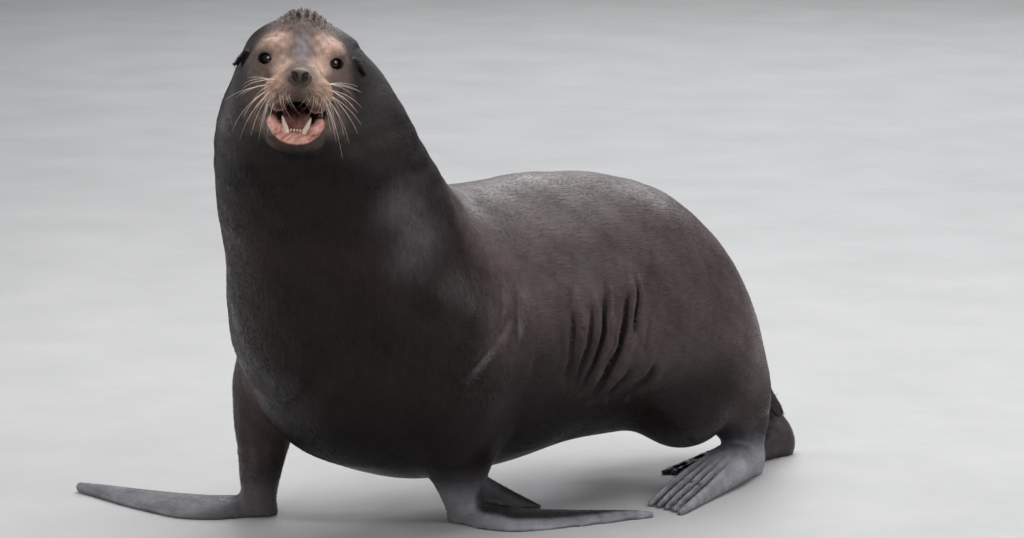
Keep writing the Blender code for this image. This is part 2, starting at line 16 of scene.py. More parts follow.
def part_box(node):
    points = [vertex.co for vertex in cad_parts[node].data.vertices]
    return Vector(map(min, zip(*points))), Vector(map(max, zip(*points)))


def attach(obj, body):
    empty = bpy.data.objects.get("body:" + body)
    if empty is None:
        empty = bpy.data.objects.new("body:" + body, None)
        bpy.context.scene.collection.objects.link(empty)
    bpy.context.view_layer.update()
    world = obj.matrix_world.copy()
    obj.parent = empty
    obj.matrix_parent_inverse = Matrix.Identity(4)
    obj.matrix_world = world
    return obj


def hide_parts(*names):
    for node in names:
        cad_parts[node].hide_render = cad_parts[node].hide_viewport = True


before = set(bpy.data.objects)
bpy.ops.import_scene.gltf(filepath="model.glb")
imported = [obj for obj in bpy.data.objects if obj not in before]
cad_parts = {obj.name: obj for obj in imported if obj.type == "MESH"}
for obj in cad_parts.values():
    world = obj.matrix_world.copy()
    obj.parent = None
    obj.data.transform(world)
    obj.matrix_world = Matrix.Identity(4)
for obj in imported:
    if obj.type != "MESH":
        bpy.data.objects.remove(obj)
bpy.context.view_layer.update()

# ---------------------------------------------------------------- sizes, in metres, in the form frame
BODY_COAT, FACE_COAT, CREST_COAT = 0.0028, 0.0014, 0.007  # the coat's depth, and how much more on the crest
COARSE, FINE = 0.009, 0.0045  # the spacing of the skin's grid
BLOCK = 4  # the grid is tried in blocks of so many lines before it is worked out in full
# FAR is the distance given to a place that no form is near. A form counts up to REACH past its own box
FAR, REACH = 0.2, 0.06
SIDES = LEFT, RIGHT = 1, -1
OPEN = math.inf
CARVED = "carved"

EYE_RADIUS = 0.021
EYES_MIDDLE = (0.149, -0.557, 1.006)
HEAD_TURN, HEAD_LIFT, HEAD_ROLL = 56, 7, 4.8
EYE_PLACE = (0.06, 0.012, 0.0)
LID_RADIUS = 0.0238

TRUNK = (
    (-0.52, 0, 0.41, 0.12, 0.13), (-0.47, 0, 0.405, 0.2, 0.22), (-0.38, 0, 0.4, 0.25, 0.27),
    (-0.2, 0, 0.387, 0.278, 0.308), (0.0, 0, 0.391, 0.28, 0.306), (0.18, 0, 0.408, 0.27, 0.296),
    (0.34, 0, 0.403, 0.252, 0.287), (0.47, 0, 0.38, 0.229, 0.265), (0.57, 0, 0.339, 0.201, 0.236),
    (0.64, 0, 0.291, 0.168, 0.202), (0.69, 0, 0.241, 0.132, 0.161), (0.73, 0, 0.194, 0.086, 0.11),
    (0.755, 0, 0.165, 0.04, 0.06),
)
TAIL = (
    (0.64, 0.01, 0.255, 0.072, 0.068), (0.71, 0.012, 0.212, 0.046, 0.055),
    (0.772, 0.016, 0.166, 0.03, 0.038), (0.812, 0.02, 0.124, 0.02, 0.023),
    (0.832, 0.022, 0.1, 0.01, 0.011),
)
NECK = (
    (0.2, 0, -0.29, 0.1, 0.09), (0.28, 0, -0.3, 0.195, 0.195), (0.36, 0, -0.306, 0.248, 0.262),
    (0.472, 0.002, -0.31, 0.265, 0.285), (0.585, 0.013, -0.333, 0.251, 0.28),
    (0.699, 0.024, -0.387, 0.231, 0.256), (0.814, 0.041, -0.44, 0.203, 0.223),
    (0.902, 0.038, -0.456, 0.183, 0.188), (0.97, 0.026, -0.452, 0.145, 0.147),
    (1.02, 0.022, -0.455, 0.094, 0.094),
)
SHOULDERS = {LEFT: (0.165, -0.21, 0.4), RIGHT: (-0.165, -0.27, 0.4)}
SHOULDER_RADII = (0.122, 0.15, 0.19)
FORE_ARMS = {
    LEFT: ((-0.02, 0.134, -0.13, 0.024, 0.028), (0.05, 0.138, -0.146, 0.034, 0.048),
           (0.12, 0.168, -0.174, 0.049, 0.072), (0.2, 0.205, -0.2, 0.07, 0.092),
           (0.3, 0.205, -0.23, 0.09, 0.115), (0.4, 0.18, -0.25, 0.08, 0.1)),
    RIGHT: ((-0.02, -0.182, -0.44, 0.026, 0.03), (0.05, -0.186, -0.441, 0.033, 0.042),
            (0.12, -0.205, -0.421, 0.042, 0.057), (0.2, -0.224, -0.392, 0.06, 0.082),
            (0.3, -0.221, -0.365, 0.083, 0.11), (0.4, -0.205, -0.362, 0.08, 0.105)),
}
# (wrist, degrees from the tail to the side, length, rise)
FLIPPERS = {LEFT: ((0.126, -0.146), 36, 0.91, 0), RIGHT: ((-0.178, -0.442), 117, 1.045, 0.008)}
BLADE = (
    (-0.018, 0.004, -0.022, 0.014), (-0.004, 0.016, -0.036, 0.03), (0.018, 0.044, -0.054, 0.04),
    (0.06, 0.09, -0.066, 0.037), (0.13, 0.113, -0.068, 0.029), (0.21, 0.09, -0.066, 0.023),
    (0.31, 0.048, -0.06, 0.018), (0.4, 0.002, -0.05, 0.014), (0.455, -0.026, -0.044, 0.01),
)
# The hind edge of the left fore flipper curls up behind the wrist
FLIPPER_FOLD = (
    (-0.03, -0.04, 0.06, 0.02, 0.04), (0.02, -0.055, 0.06, 0.03, 0.05),
    (0.07, -0.076, 0.042, 0.03, 0.034), (0.12, -0.09, 0.024, 0.024, 0.021),
    (0.16, -0.096, 0.012, 0.014, 0.011), (0.176, -0.097, 0.008, 0.007, 0.006),
)
THIGH, THIGH_RADII = (0.125, 0.465, 0.185), (0.085, 0.125, 0.1)
HIND_LEGS = {
    LEFT: ((-0.02, 0.1, 0.655, 0.038, 0.043), (0.06, 0.1, 0.658, 0.042, 0.048),
           (0.12, 0.102, 0.64, 0.06, 0.073), (0.2, 0.105, 0.6, 0.082, 0.108),
           (0.3, 0.1, 0.55, 0.085, 0.115), (0.4, 0.09, 0.5, 0.05, 0.06)),
    RIGHT: ((-0.02, -0.024, 0.856, 0.036, 0.038), (0.05, -0.03, 0.856, 0.04, 0.046),
            (0.11, -0.05, 0.792, 0.052, 0.07), (0.18, -0.08, 0.7, 0.075, 0.095),
            (0.3, -0.1, 0.55, 0.085, 0.115), (0.4, -0.09, 0.5, 0.05, 0.06)),
}
FEET = {LEFT: ((0.1, 0.655), 28, 0.95), RIGHT: ((-0.024, 0.856), 10, 0.72)}  # (heel, heading, size)
FOOT = (
    (-0.062, 0, 0.028, 0.024, 0.026), (-0.03, 0, 0.034, 0.044, 0.044), (0.05, 0, 0.036, 0.058, 0.05),
    (0.13, 0, 0.03, 0.064, 0.044), (0.21, 0, 0.021, 0.062, 0.034), (0.3, 0, 0.011, 0.058, 0.022),
    (0.37, 0, 0.005, 0.054, 0.013), (0.41, 0, 0.003, 0.05, 0.008), (0.43, 0, 0.001, 0.04, 0.004),
)
TOES = ((-0.044, 0.44), (-0.022, 0.45), (0.0, 0.46), (0.022, 0.475), (0.045, 0.495))

# The head, in its own frame: the origin is between the eyes and the nose points to -Y
SKULL = (
    ((0, 0.12, -0.11), (0.105, 0.11, 0.095), 0.06), ((0, 0.112, 0.0), (0.117, 0.132, 0.094), 0.06),
    ((0.068, 0.06, -0.042), (0.046, 0.08, 0.062), 0.05), ((0, 0.078, 0.056), (0.044, 0.078, 0.05), 0.03),
    ((0, 0.032, 0.012), (0.064, 0.06, 0.05), 0.03), ((0.054, 0.012, 0.026), (0.028, 0.028, 0.016), 0.02),
)
MUZZLE = (
    (-0.129, 0, -0.048, 0.014, 0.014), (-0.123, 0, -0.049, 0.028, 0.027),
    (-0.108, 0, -0.049, 0.038, 0.036), (-0.078, 0, -0.045, 0.043, 0.041),
    (-0.04, 0, -0.038, 0.047, 0.044), (0.0, 0, -0.033, 0.058, 0.048), (0.05, 0, -0.035, 0.072, 0.055),
)
SNOUT = (
    ((0.034, -0.082, -0.058), (0.033, 0.044, 0.031), 0.015),
    ((0.048, -0.042, -0.072), (0.02, 0.055, 0.028), 0.018),
    ((0, -0.121, -0.034), (0.023, 0.014, 0.019), 0.006),
)
JAW = (
    (-0.108, 0, -0.174, 0.016, 0.007), (-0.102, 0, -0.172, 0.037, 0.013),
    (-0.086, 0, -0.166, 0.055, 0.021), (-0.056, 0, -0.153, 0.063, 0.032),
    (-0.016, 0, -0.137, 0.067, 0.04), (0.03, 0, -0.12, 0.071, 0.048), (0.09, 0, -0.095, 0.08, 0.06),
)
MOUTH = (
    (-0.16, 0, -0.126, 0.068, 0.046), (-0.11, 0, -0.124, 0.061, 0.04), (-0.07, 0, -0.117, 0.059, 0.036),
    (-0.03, 0, -0.105, 0.055, 0.03), (0.01, 0, -0.092, 0.043, 0.021), (0.045, 0, -0.084, 0.025, 0.013),
    (0.06, 0, -0.081, 0.008, 0.005),
)
TONGUE = (
    (-0.075, 0, -0.147, 0.01, 0.005), (-0.066, 0, -0.144, 0.022, 0.01), (-0.04, 0, -0.133, 0.03, 0.014),
    (-0.01, 0, -0.116, 0.03, 0.015), (0.02, 0, -0.103, 0.024, 0.012), (0.036, 0, -0.096, 0.012, 0.006),
)
LIPS = (((0.037, -0.088, -0.085), (0.022, 0.032, 0.02), 0.01),)
# The gums fill the jaw between the teeth and the cheeks, and in front of the tongue
GUMS = (
    ((0.036, -0.066, -0.14), (0.017, 0.036, 0.017), 0.008),
    ((0.047, -0.054, -0.127), (0.013, 0.034, 0.016), 0.008),
    ((0, -0.085, -0.16), (0.037, 0.02, 0.02), 0.01),
)
CANINE = (0.018, -0.084, -0.146, 0.034)  # (x, y, z at the root, height)
NOSE_MIDDLE = (0, -0.124, -0.035)
EAR = ((-0.012, 0, 0, 0.008, 0.006), (0.01, 0, 0, 0.0095, 0.0065), (0.024, 0, 0, 0.008, 0.0055),
       (0.035, 0, 0, 0.0035, 0.003))
EAR_PLACE, EAR_TURN = (0.114, 0.038, 0.006), (-62, 48)

# Folds of the flank, from the back down: (y and z at the top, y and z at the foot, depth, half width)
FOLDS = (
    (0.052, 0.51, 0.026, 0.27, 0.0095, 0.011), (0.103, 0.5, 0.05, 0.245, 0.0115, 0.01),
    (0.147, 0.53, 0.074, 0.236, 0.015, 0.01), (0.17, 0.455, 0.122, 0.282, 0.009, 0.007),
    (0.206, 0.52, 0.118, 0.212, 0.019, 0.011), (0.236, 0.52, 0.204, 0.365, 0.0125, 0.007),
    (0.226, 0.318, 0.168, 0.228, 0.01, 0.009), (0.3, 0.322, 0.232, 0.222, 0.0095, 0.01),
    (0.018, 0.46, 0.004, 0.315, 0.006, 0.01), (0.27, 0.44, 0.246, 0.315, 0.0045, 0.01),
)

# Single creases: (start, end, bow of the curve between them, depth, half width)
SHOULDER_CREASES = (
    ((0.29, -0.115, 0.465), (0.285, -0.25, 0.35), (0.01, 0.0, -0.008), 0.007, 0.014),
    ((0.285, -0.09, 0.52), (0.262, -0.125, 0.38), (0.01, 0.012, 0.0), 0.005, 0.01),
    ((0.285, -0.13, 0.54), (0.275, -0.165, 0.43), (0.01, 0.01, 0.0), 0.0046, 0.01),
    ((0.282, -0.045, 0.46), (0.25, -0.075, 0.31), (0.01, 0.01, 0.0), 0.0046, 0.01),
)
WRIST_CREASES = ((0.088, 0.0022), (0.104, 0.0018), (0.122, 0.0022), (0.145, 0.0016))  # (height, depth)
GUM_CREASES = (
    ((0.047, -0.08, -0.112), (0.03, -0.102, -0.158), (0.004, -0.006, 0), 0.0034, 0.0026),
    ((0.054, -0.07, -0.122), (0.04, -0.098, -0.166), (0.004, -0.006, 0), 0.0026, 0.0024),
    ((0.036, -0.1, -0.16), (0.0, -0.112, -0.168), (0, -0.004, -0.002), 0.0026, 0.0024),
    ((0.022, -0.098, -0.148), (0.0, -0.104, -0.155), (0, -0.004, 0), 0.0016, 0.0022),
)
FACE_CREASES = (
    ((0.024, -0.01, 0.03), (0.086, 0.02, 0.033), (0, -0.004, 0.012), 0.0016, 0.0035),  # brow
    ((0.032, -0.026, -0.012), (0.08, -0.012, -0.028), (0, -0.004, -0.01), 0.0018, 0.003),  # under the eye
    ((0.038, -0.022, -0.022), (0.088, 0.004, -0.036), (0, -0.004, -0.01), 0.0012, 0.0035),
    ((0.085, 0.002, 0.004), (0.104, 0.045, -0.006), (0.004, 0, 0), 0.0012, 0.003),  # outer corner
    ((0.01, -0.06, 0.008), (0.034, -0.09, -0.036), (0.006, 0, 0.004), 0.0014, 0.0035),  # side of the nose
    ((0.03, -0.118, -0.04), (0.06, -0.05, -0.044), (0.01, 0, 0.006), 0.0015, 0.004),  # over the pad
    ((0.058, -0.07, -0.094), (0.066, -0.01, -0.092), (0.006, 0, 0.006), 0.0018, 0.0035),
    ((0.062, 0.0, -0.07), (0.078, 0.03, -0.11), (0.008, 0, 0), 0.0024, 0.004),  # corner of the mouth
    ((0.07, 0.01, -0.068), (0.088, 0.05, -0.112), (0.008, 0, 0), 0.0018, 0.0045),
    ((0.03, -0.098, -0.182), (0.06, -0.04, -0.176), (0.012, 0, 0), 0.0012, 0.004),  # under the lower lip
    ((0.0, 0.01, 0.052), (0.026, 0.004, 0.05), (0, 0, 0.004), 0.0008, 0.0035),  # forehead
    ((0.0, -0.01, 0.036), (0.022, -0.012, 0.034), (0, 0, 0.003), 0.0007, 0.003),
)


# ---------------------------------------------------------------- the forms and their formula
def place_at(spot, turn=0, lift=0, roll=0):
    """The matrix of a frame at a spot, turned about Z, then lifted nose up, then rolled, in degrees."""
    turned = Matrix.Rotation(math.radians(turn), 4, "Z") @ Matrix.Rotation(math.radians(-lift), 4, "X")
    return np.array(Matrix.Translation(Vector(spot)) @ turned @ Matrix.Rotation(math.radians(roll), 4, "Y"))


HEAD = place_at(EYES_MIDDLE, HEAD_TURN, HEAD_LIFT, HEAD_ROLL)
HEAD_INVERSE = np.linalg.inv(HEAD)
WORLD = np.eye(4)
EYES = np.array([np.mean(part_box("eye_" + word), axis=0) for word in ("left", "right")])
STAND = EYES.mean(0) - (HEAD @ (0, *EYE_PLACE[1:], 1))[:3]


def smooth_rows(rows, steps=6):
    """The rows with others between them, along a Catmull-Rom curve."""
    rows = np.array(rows, float)
    ends = np.vstack([2 * rows[0] - rows[1], rows, 2 * rows[-1] - rows[-2]])
    made = []
    for before, here, there, after in zip(ends, ends[1:], ends[2:], ends[3:]):
        for t in np.arange(steps) / steps:
            bend = (2 * before - 5 * here + 4 * there - after) * t**2
            twist = (3 * here - before - 3 * there + after) * t**3
            made.append(0.5 * (2 * here + (there - before) * t + bend + twist))
    made.append(rows[-1])
    made = np.array(made)
    made[:, 3:] = np.maximum(made[:, 3:], 0.001)
    return made


def ellipsoid(radii):
    """The box and the formula of an ellipsoid about the origin of its frame."""
    radii = np.array(radii)

    def outside(p):
        near = np.linalg.norm(p / radii, axis=1)
        return near * (near - 1) / np.maximum(np.linalg.norm(p / radii**2, axis=1), 1e-6)

    return -radii, radii, outside


def tube(rows, along):
    """The box and the formula of a tube of elliptical sections, whose rows are spaced along axis 1 or 2."""
    rows = smooth_rows(rows)
    second = 3 - along
    low, high = np.zeros(3), np.zeros(3)
    low[along], high[along] = rows[0, 0], rows[-1, 0]
    for axis, middle, half in ((0, 1, 3), (second, 2, 4)):
        low[axis] = (rows[:, middle] - rows[:, half]).min()
        high[axis] = (rows[:, middle] + rows[:, half]).max()

    def outside(p):
        held = np.clip(p[:, along], rows[0, 0], rows[-1, 0])
        x, y, wide, deep = (np.interp(held, rows[:, 0], rows[:, column]) for column in range(1, 5))
        u, v = (p[:, 0] - x) / wide, (p[:, second] - y) / deep
        near, steep = np.hypot(u, v), np.hypot(u / wide, v / deep)
        found = np.where(near > 1e-4, near * (near - 1) / np.maximum(steep, 1e-6), -np.minimum(wide, deep))
        past = np.abs(p[:, along] - held)
        end = np.minimum(p[:, along] - rows[0, 0], rows[-1, 0] - p[:, along])
        return np.where(past > 0, np.hypot(np.maximum(found, 0), past), np.maximum(found, -end))

    return low, high, outside


def beside(frame_of, spot, side):
    """The frame moved to a spot that is given for the left side of it."""
    moved = frame_of.copy()
    moved[:, 3] = frame_of @ np.array((side * spot[0], spot[1], spot[2], 1))
    return moved


def both_sides(rows):
    """Head forms of (middle, radii, blend), each on both sides when it is off the middle."""
    return [
        (beside(HEAD, middle, side), ellipsoid(radii), blend)
        for middle, radii, blend in rows
        for side in (SIDES if middle[0] else (LEFT,))
    ]


def foot_frame(side):
    heel, heading, size = FEET[side]
    made = place_at((*heel, 0), 180 + heading)
    made[:3, :3] *= size
    return made


def flipper_frame(side):
    wrist, heading = FLIPPERS[side][:2]
    made = place_at((*wrist, 0), -side * heading)
    made[:3, 0] *= side
    return made


def ear_frame(side):
    turn, lift = EAR_TURN
    return beside(HEAD, EAR_PLACE, side) @ place_at((0, 0, 0), side * turn, lift)


def backs_of(frame_of):
    """For each side, the way back from the form frame into the frame that frame_of(side) gives."""
    return {side: np.linalg.inv(frame_of(side)) for side in SIDES}


FOOT_BACK, FLIPPER_BACK, EAR_BACK = backs_of(foot_frame), backs_of(flipper_frame), backs_of(ear_frame)


def limb_forms(side):
    length, rise = FLIPPERS[side][2:]
    blade = [
        (out * length, (lead + trail) / 2, rise * max(out, 0) / BLADE[-1][0], (lead - trail) / 2, thick)
        for out, lead, trail, thick in BLADE
    ]
    forms = [
        (place_at(SHOULDERS[side]), ellipsoid(SHOULDER_RADII), 0.05),
        (WORLD, tube(FORE_ARMS[side], 2), 0.05),
        (flipper_frame(side), tube(blade, 1), 0.03),
        (place_at((side * THIGH[0], *THIGH[1:])), ellipsoid(THIGH_RADII), 0.05),
        (WORLD, tube(HIND_LEGS[side], 2), 0.05),
        (foot_frame(side), tube(FOOT, 1), 0.015),
    ]
    if side == LEFT:
        forms.append((flipper_frame(side), tube(FLIPPER_FOLD, 1), 0.025))
    for across, length in TOES:
        across *= -side
        toe = (
            (0.08, across * 0.6, 0.05, 0.01, 0.024), (0.2, across * 0.9, 0.037, 0.0115, 0.022),
            (0.32, across * 1.02, 0.021, 0.012, 0.018),
            (length - 0.025, across * 1.08, 0.007, 0.0115, 0.01),
            (length, across * 1.1, 0.003, 0.005, 0.005),
        )
        forms.append((foot_frame(side), tube(toe, 1), 0.007))
    return forms


def lid_forms(side):
    """The lids: a cap over the eyeball and the fold over the upper lid, then the almond opening in them."""
    middle = np.array(EYE_PLACE)
    aim = place_at(middle * (side, 1, 1), side * 30)  # looks out along its own -Y
    return [
        (HEAD @ aim @ place_at((0, 0.0008, 0)), ellipsoid((LID_RADIUS,) * 3), 0.006),
        (HEAD @ aim @ place_at((0, 0.0035, 0.004)), ellipsoid((0.0262, 0.025, 0.024)), 0.005),
        (HEAD @ aim @ place_at((0, -0.018, -0.001), 0, 0, side * -7),
         ellipsoid((0.0156, 0.033, 0.0108)), 0.0015, CARVED),
    ]


def nose_forms():
    """The nostrils: two slits that rise outwards under a rounded rim, and the groove down to the lip."""
    made = []
    for side in SIDES:
        slit = beside(HEAD, (0.0078, -0.1335, -0.037), side) @ place_at((0, 0, 0), 0, 8, side * 24)
        made.append((slit, ellipsoid((0.003, 0.01, 0.013)), 0.0018, CARVED))
        end = beside(HEAD, (0.0138, -0.131, -0.0262), side) @ place_at((0, 0, 0), 0, 0, side * 50)
        made.append((end, ellipsoid((0.0026, 0.009, 0.0062)), 0.0018, CARVED))
    made.append((beside(HEAD, (0, -0.1365, -0.06), 1), ellipsoid((0.0016, 0.007, 0.022)), 0.003, CARVED))
    return made


def head_forms():
    forms = both_sides(SKULL)
    forms.append((HEAD, tube(MUZZLE, 1), 0.035))
    forms += both_sides(SNOUT)
    forms.append((HEAD, tube(JAW, 1), 0.016))
    for side in SIDES:
        forms += lid_forms(side)[:2]
        forms.append((ear_frame(side), tube(EAR, 1), 0.006))
    forms.append((HEAD, tube(MOUTH, 1), 0.004, CARVED))
    forms += both_sides(LIPS) + both_sides(GUMS)
    for side in SIDES:
        forms.append(lid_forms(side)[2])
        hollow = ear_frame(side) @ place_at((side * 0.001, 0.021, -0.0068))
        forms.append((hollow, ellipsoid((0.0026, 0.0105, 0.0032)), 0.002, CARVED))
    return forms + nose_forms()


def body_forms():
    """(frame, shape, blend) of each form of the body, in the order in which they join, and CARVED after
    those that cut into the others."""
    forms = [(WORLD, tube(TRUNK, 1), 0.04), (WORLD, tube(NECK, 2), 0.06)]
    for side in SIDES:
        forms += limb_forms(side)
    forms.append((WORLD, tube(TAIL, 1), 0.012))
    return forms + head_forms()


def smooth_min(a, b, blend):
    share = np.clip(0.5 + 0.5 * (b - a) / blend, 0, 1)
    return b + (a - b) * share - blend * share * (1 - share)


def step_up(value, low, high):
    """0 below low, 1 above high, and smooth between."""
    t = np.clip((value - low) / (high - low), 0, 1)
    return t * t * (3 - 2 * t)


def bell(value, width):
    """1 where the value is nothing, falling to 0 over about two widths."""
    return np.exp(-((value / width) ** 2))


def ripple(along, length, shift=0):
    """Waves of a length, -1 to 1."""
    return np.sin(along * 2 * math.pi / length + shift)


def unit(rows):
    """Each row as a vector of length 1."""
    return rows / np.maximum(np.linalg.norm(rows, axis=1), 1e-6)[:, None]


def in_frame(points, inverse):
    return points @ inverse[:3, :3].T + inverse[:3, 3]


def in_head(points):
    return in_frame(points, HEAD_INVERSE)


def folded(q):
    """Points in the head's frame, with both sides of the head laid on the left one."""
    return np.stack([np.abs(q[:, 0]), q[:, 1], q[:, 2]], -1)


def away(points, middle, radii=1):
    """How far points are from a middle: 1 on the ellipsoid that has these radii."""
    return np.linalg.norm((points - np.array(middle)) / radii, axis=1)


def blob(q, middle, radii):
    """1 in the middle of an ellipsoid and 0 outside it, on both sides of the head."""
    return step_up(away(folded(q), middle, radii), 1.0, 0.25)


def within(points, x=(-OPEN, OPEN), y=(-OPEN, OPEN), z=(-OPEN, OPEN)):
    """Which points are inside a box, whose axes each have a low and a high end."""
    low, high = np.array((x, y, z), float).T
    return ((points > low) & (points < high)).all(1)


def prepared(forms):
    """For each form, the way back into its frame, the ends of its box, its formula and its join."""
    made = []
    for placed, (low, high, outside), blend, *carved in forms:
        corners = np.array([np.where(pick, high, low) for pick in np.ndindex(2, 2, 2)])
        corners = in_frame(corners, placed)
        reach = 0.02 if carved else REACH
        made.append((np.linalg.inv(placed), corners.min(0) - reach, corners.max(0) + reach,
                     outside, blend, carved))
    return made


FORMS = prepared(body_forms())
MOUTH_OUTSIDE = tube(MOUTH, 1)[2]


def outside_body(points):
    """How far each point is outside the body, and less than nothing inside it."""
    found = np.full(len(points), FAR)
    for back, low, high, outside, blend, carved in FORMS:
        near = ((points > low) & (points < high)).all(1)
        if not near.any():
            continue
        here = outside(in_frame(points[near], back))
        if carved:
            found[near] = -smooth_min(-found[near], here, blend)
        else:
            found[near] = smooth_min(found[near], here, blend)
    return found


def crest_at(q):
    """1 on the crown, where the wet locks stand up, and 0 away from it."""
    x, y, z = folded(q).T
    return (step_up(z, 0.056, 0.084) * step_up(x, 0.072, 0.026)
            * step_up(y, 0.0, 0.034) * step_up(y, 0.15, 0.1))


def on_pads(q):
    """1 on the whisker pads and the lips under them."""
    return blob(q, (0.038, -0.09, -0.076), (0.036, 0.06, 0.046))


def coat_depth(points):
    """How deep the coat is: least on the face and the feet, and most on the crest."""
    q = in_head(points)
    bare = np.maximum(step_up(q[:, 1], 0.1, 0.0) * (points[:, 2] > 0.75), step_up(points[:, 2], 0.16, 0.06))
    return BODY_COAT + (FACE_COAT - BODY_COAT) * bare + CREST_COAT * crest_at(q)


def skin_formula(points):
    return np.maximum(outside_body(points) + coat_depth(points), -points[:, 2])


# ---------------------------------------------------------------- the mesh of the skin
def axis_of(low, high, *fine):
    """Grid lines that are closer together in each of the fine stretches."""
    lines = [low]
    while lines[-1] < high:
        close = any(start - 1e-6 <= lines[-1] < end for start, end in fine)
        lines.append(lines[-1] + (FINE if close else COARSE))
    return np.array(lines[: len(lines) // BLOCK * BLOCK])


def values_on(axes, formula):
    """The formula on a grid, worked out in full only near the surface."""
    blocks = [axis.reshape(-1, BLOCK) for axis in axes]
    halves = np.meshgrid(*[np.ptp(b, axis=1) / 2 + COARSE / 2 for b in blocks], indexing="ij")
    spots = np.stack(np.meshgrid(*[b.mean(1) for b in blocks], indexing="ij"), -1).reshape(-1, 3)
    rough = formula(spots).reshape([len(b) for b in blocks])
    close = np.abs(rough) < 1.35 * np.sqrt(sum(h**2 for h in halves)) + 0.004
    for axis in range(3):
        close, rough = np.repeat(close, BLOCK, axis), np.repeat(rough, BLOCK, axis)
    values = np.where(rough < 0, -FAR, FAR)
    index = np.argwhere(close)
    values[close] = formula(np.stack([axes[k][index[:, k]] for k in range(3)], -1))
    return values


def surface_of(values, axes):
    """(points, quads) of the surface where the values change sign, one point to each cell it crosses."""
    shape = np.array(values.shape) - 1
    cells, spots, rings = [], [], []
    for axis in range(3):
        near = values[tuple(slice(0, -1) if k == axis else slice(None) for k in range(3))]
        far = values[tuple(slice(1, None) if k == axis else slice(None) for k in range(3))]
        index = np.argwhere((near < 0) != (far < 0))
        first, second = near[tuple(index.T)], far[tuple(index.T)]
        spot = np.stack([axes[k][index[:, k]] for k in range(3)], -1)
        spot[:, axis] += first / (first - second) * np.diff(axes[axis])[index[:, axis]]
        u, v = (axis + 1) % 3, (axis + 2) % 3
        ring, inner = [], np.ones(len(index), bool)
        for du, dv in ((0, 0), (1, 0), (1, 1), (0, 1)):
            cell = index.copy()
            cell[:, u] -= du
            cell[:, v] -= dv
            inner &= ((cell >= 0) & (cell < shape)).all(1)
            ring.append(cell)
        for cell in ring:
            cells.append(np.ravel_multi_index(cell[inner].T, shape))
            spots.append(spot[inner])
        flip = first[inner] < 0
        quad = np.stack([np.ravel_multi_index(cell[inner].T, shape) for cell in ring], 1)
        quad[~flip] = quad[~flip][:, ::-1]
        rings.append(quad)
    cells, spots = np.concatenate(cells), np.concatenate(spots)
    used, inverse = np.unique(cells, return_inverse=True)
    count = np.bincount(inverse)
    points = np.stack([np.bincount(inverse, spots[:, k]) / count for k in range(3)], -1)
    return points, np.searchsorted(used, np.concatenate(rings))


def slope_of(points, formula, found=None):
    """Which way, and how steeply, the formula rises at each point."""
    small = 0.0004
    found = formula(points) if found is None else found
    return np.stack([(formula(points + small * np.eye(3)[k]) - found) / small for k in range(3)], -1)


def settle(points, formula, rounds=2, most=0.004):
    """The points moved onto the surface."""
    for _ in range(rounds):
        found = formula(points)
        slope = slope_of(points, formula, found)
        length = np.maximum((slope**2).sum(1), 0.05)
        points = points - np.clip(found / length, -most, most)[:, None] * slope
    return points


def add_object(name, data):
    made = bpy.data.objects.new(name, data)
    bpy.context.scene.collection.objects.link(made)
    return made


def mesh_object(name, points, faces):
    data = bpy.data.meshes.new(name)
    data.from_pydata(np.asarray(points, float).tolist(), [], [list(map(int, face)) for face in faces])
    data.polygons.foreach_set("use_smooth", np.ones(len(data.polygons), bool))
    return add_object(name, data)


def plain_mesh(name, make, **settings):
    """The mesh that one of bmesh's own operators makes."""
    mesh = bmesh.new()
    make(mesh, **settings)
    data = bpy.data.meshes.new(name)
    mesh.to_mesh(data)
    mesh.free()
    return data


def finished(made, material, slot, *nodes):
    """Gives a piece its material, lets it ride, and says which CAD nodes it replaces. The slot is not used.
    """
    made.data.materials.append(material)
    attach(made, "root")
    if nodes:
        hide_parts(*nodes)


def numbers_of(items, name, width=1, kind=float):
    values = np.empty(len(items) * width, kind)
    items.foreach_get(name, values)
    return values


def vertices_of(data):
    return numbers_of(data.vertices, "co", 3).reshape(-1, 3)


def store(data, name, colours):
    """Keeps a colour at each vertex, for the materials to read."""
    layer = data.color_attributes.new(name, "FLOAT_COLOR", "POINT")
    layer.data.foreach_set("color", np.concatenate([colours, np.ones((len(colours), 1))], 1).ravel())


def set_vertices(data, points):
    data.vertices.foreach_set("co", np.asarray(points, float).ravel())
    data.update()


def refine(data, wanted):
    """Splits each face in four where wanted(points) says so."""
    mesh = bmesh.new()
    mesh.from_mesh(data)
    mesh.verts.ensure_lookup_table()
    chosen = wanted(np.array([v.co for v in mesh.verts]))
    edges = [e for e in mesh.edges if chosen[e.verts[0].index] and chosen[e.verts[1].index]]
    bmesh.ops.subdivide_edges(mesh, edges=edges, cuts=1, use_grid_fill=True)
    mesh.to_mesh(data)
    mesh.free()


def distance_to(points, line):
    """How far each point is from a polyline, in 2 or 3 dimensions, and how far along it, 0 to 1."""
    best, at = np.full(len(points), 1e9), np.zeros(len(points))
    for k, (a, b) in enumerate(zip(line, line[1:])):
        run = b - a
        t = np.clip((points - a) @ run / (run @ run), 0, 1)
        d = np.linalg.norm(points - a - t[:, None] * run, axis=1)
        closer = d < best
        best[closer], at[closer] = d[closer], (k + t[closer]) / (len(line) - 1)
    return best, at


def wave(points, seed, scale):
    """A smooth random field, about -1 to 1, whose bumps are about a scale across."""
    rng = np.random.default_rng(seed)
    total = np.zeros(len(points))
    for _ in range(7):
        way = rng.normal(size=3)
        way *= rng.uniform(0.7, 1.4) * 2 * math.pi / scale / np.linalg.norm(way)
        total += np.sin(points @ way + rng.uniform(0, 6.28))
    return total / 3.2


def groove(d, width):
    """A fold across its own line: a cut between two rounded shoulders."""
    return bell(d, width) - 0.18 * bell(d - 2.2 * width, 1.3 * width)


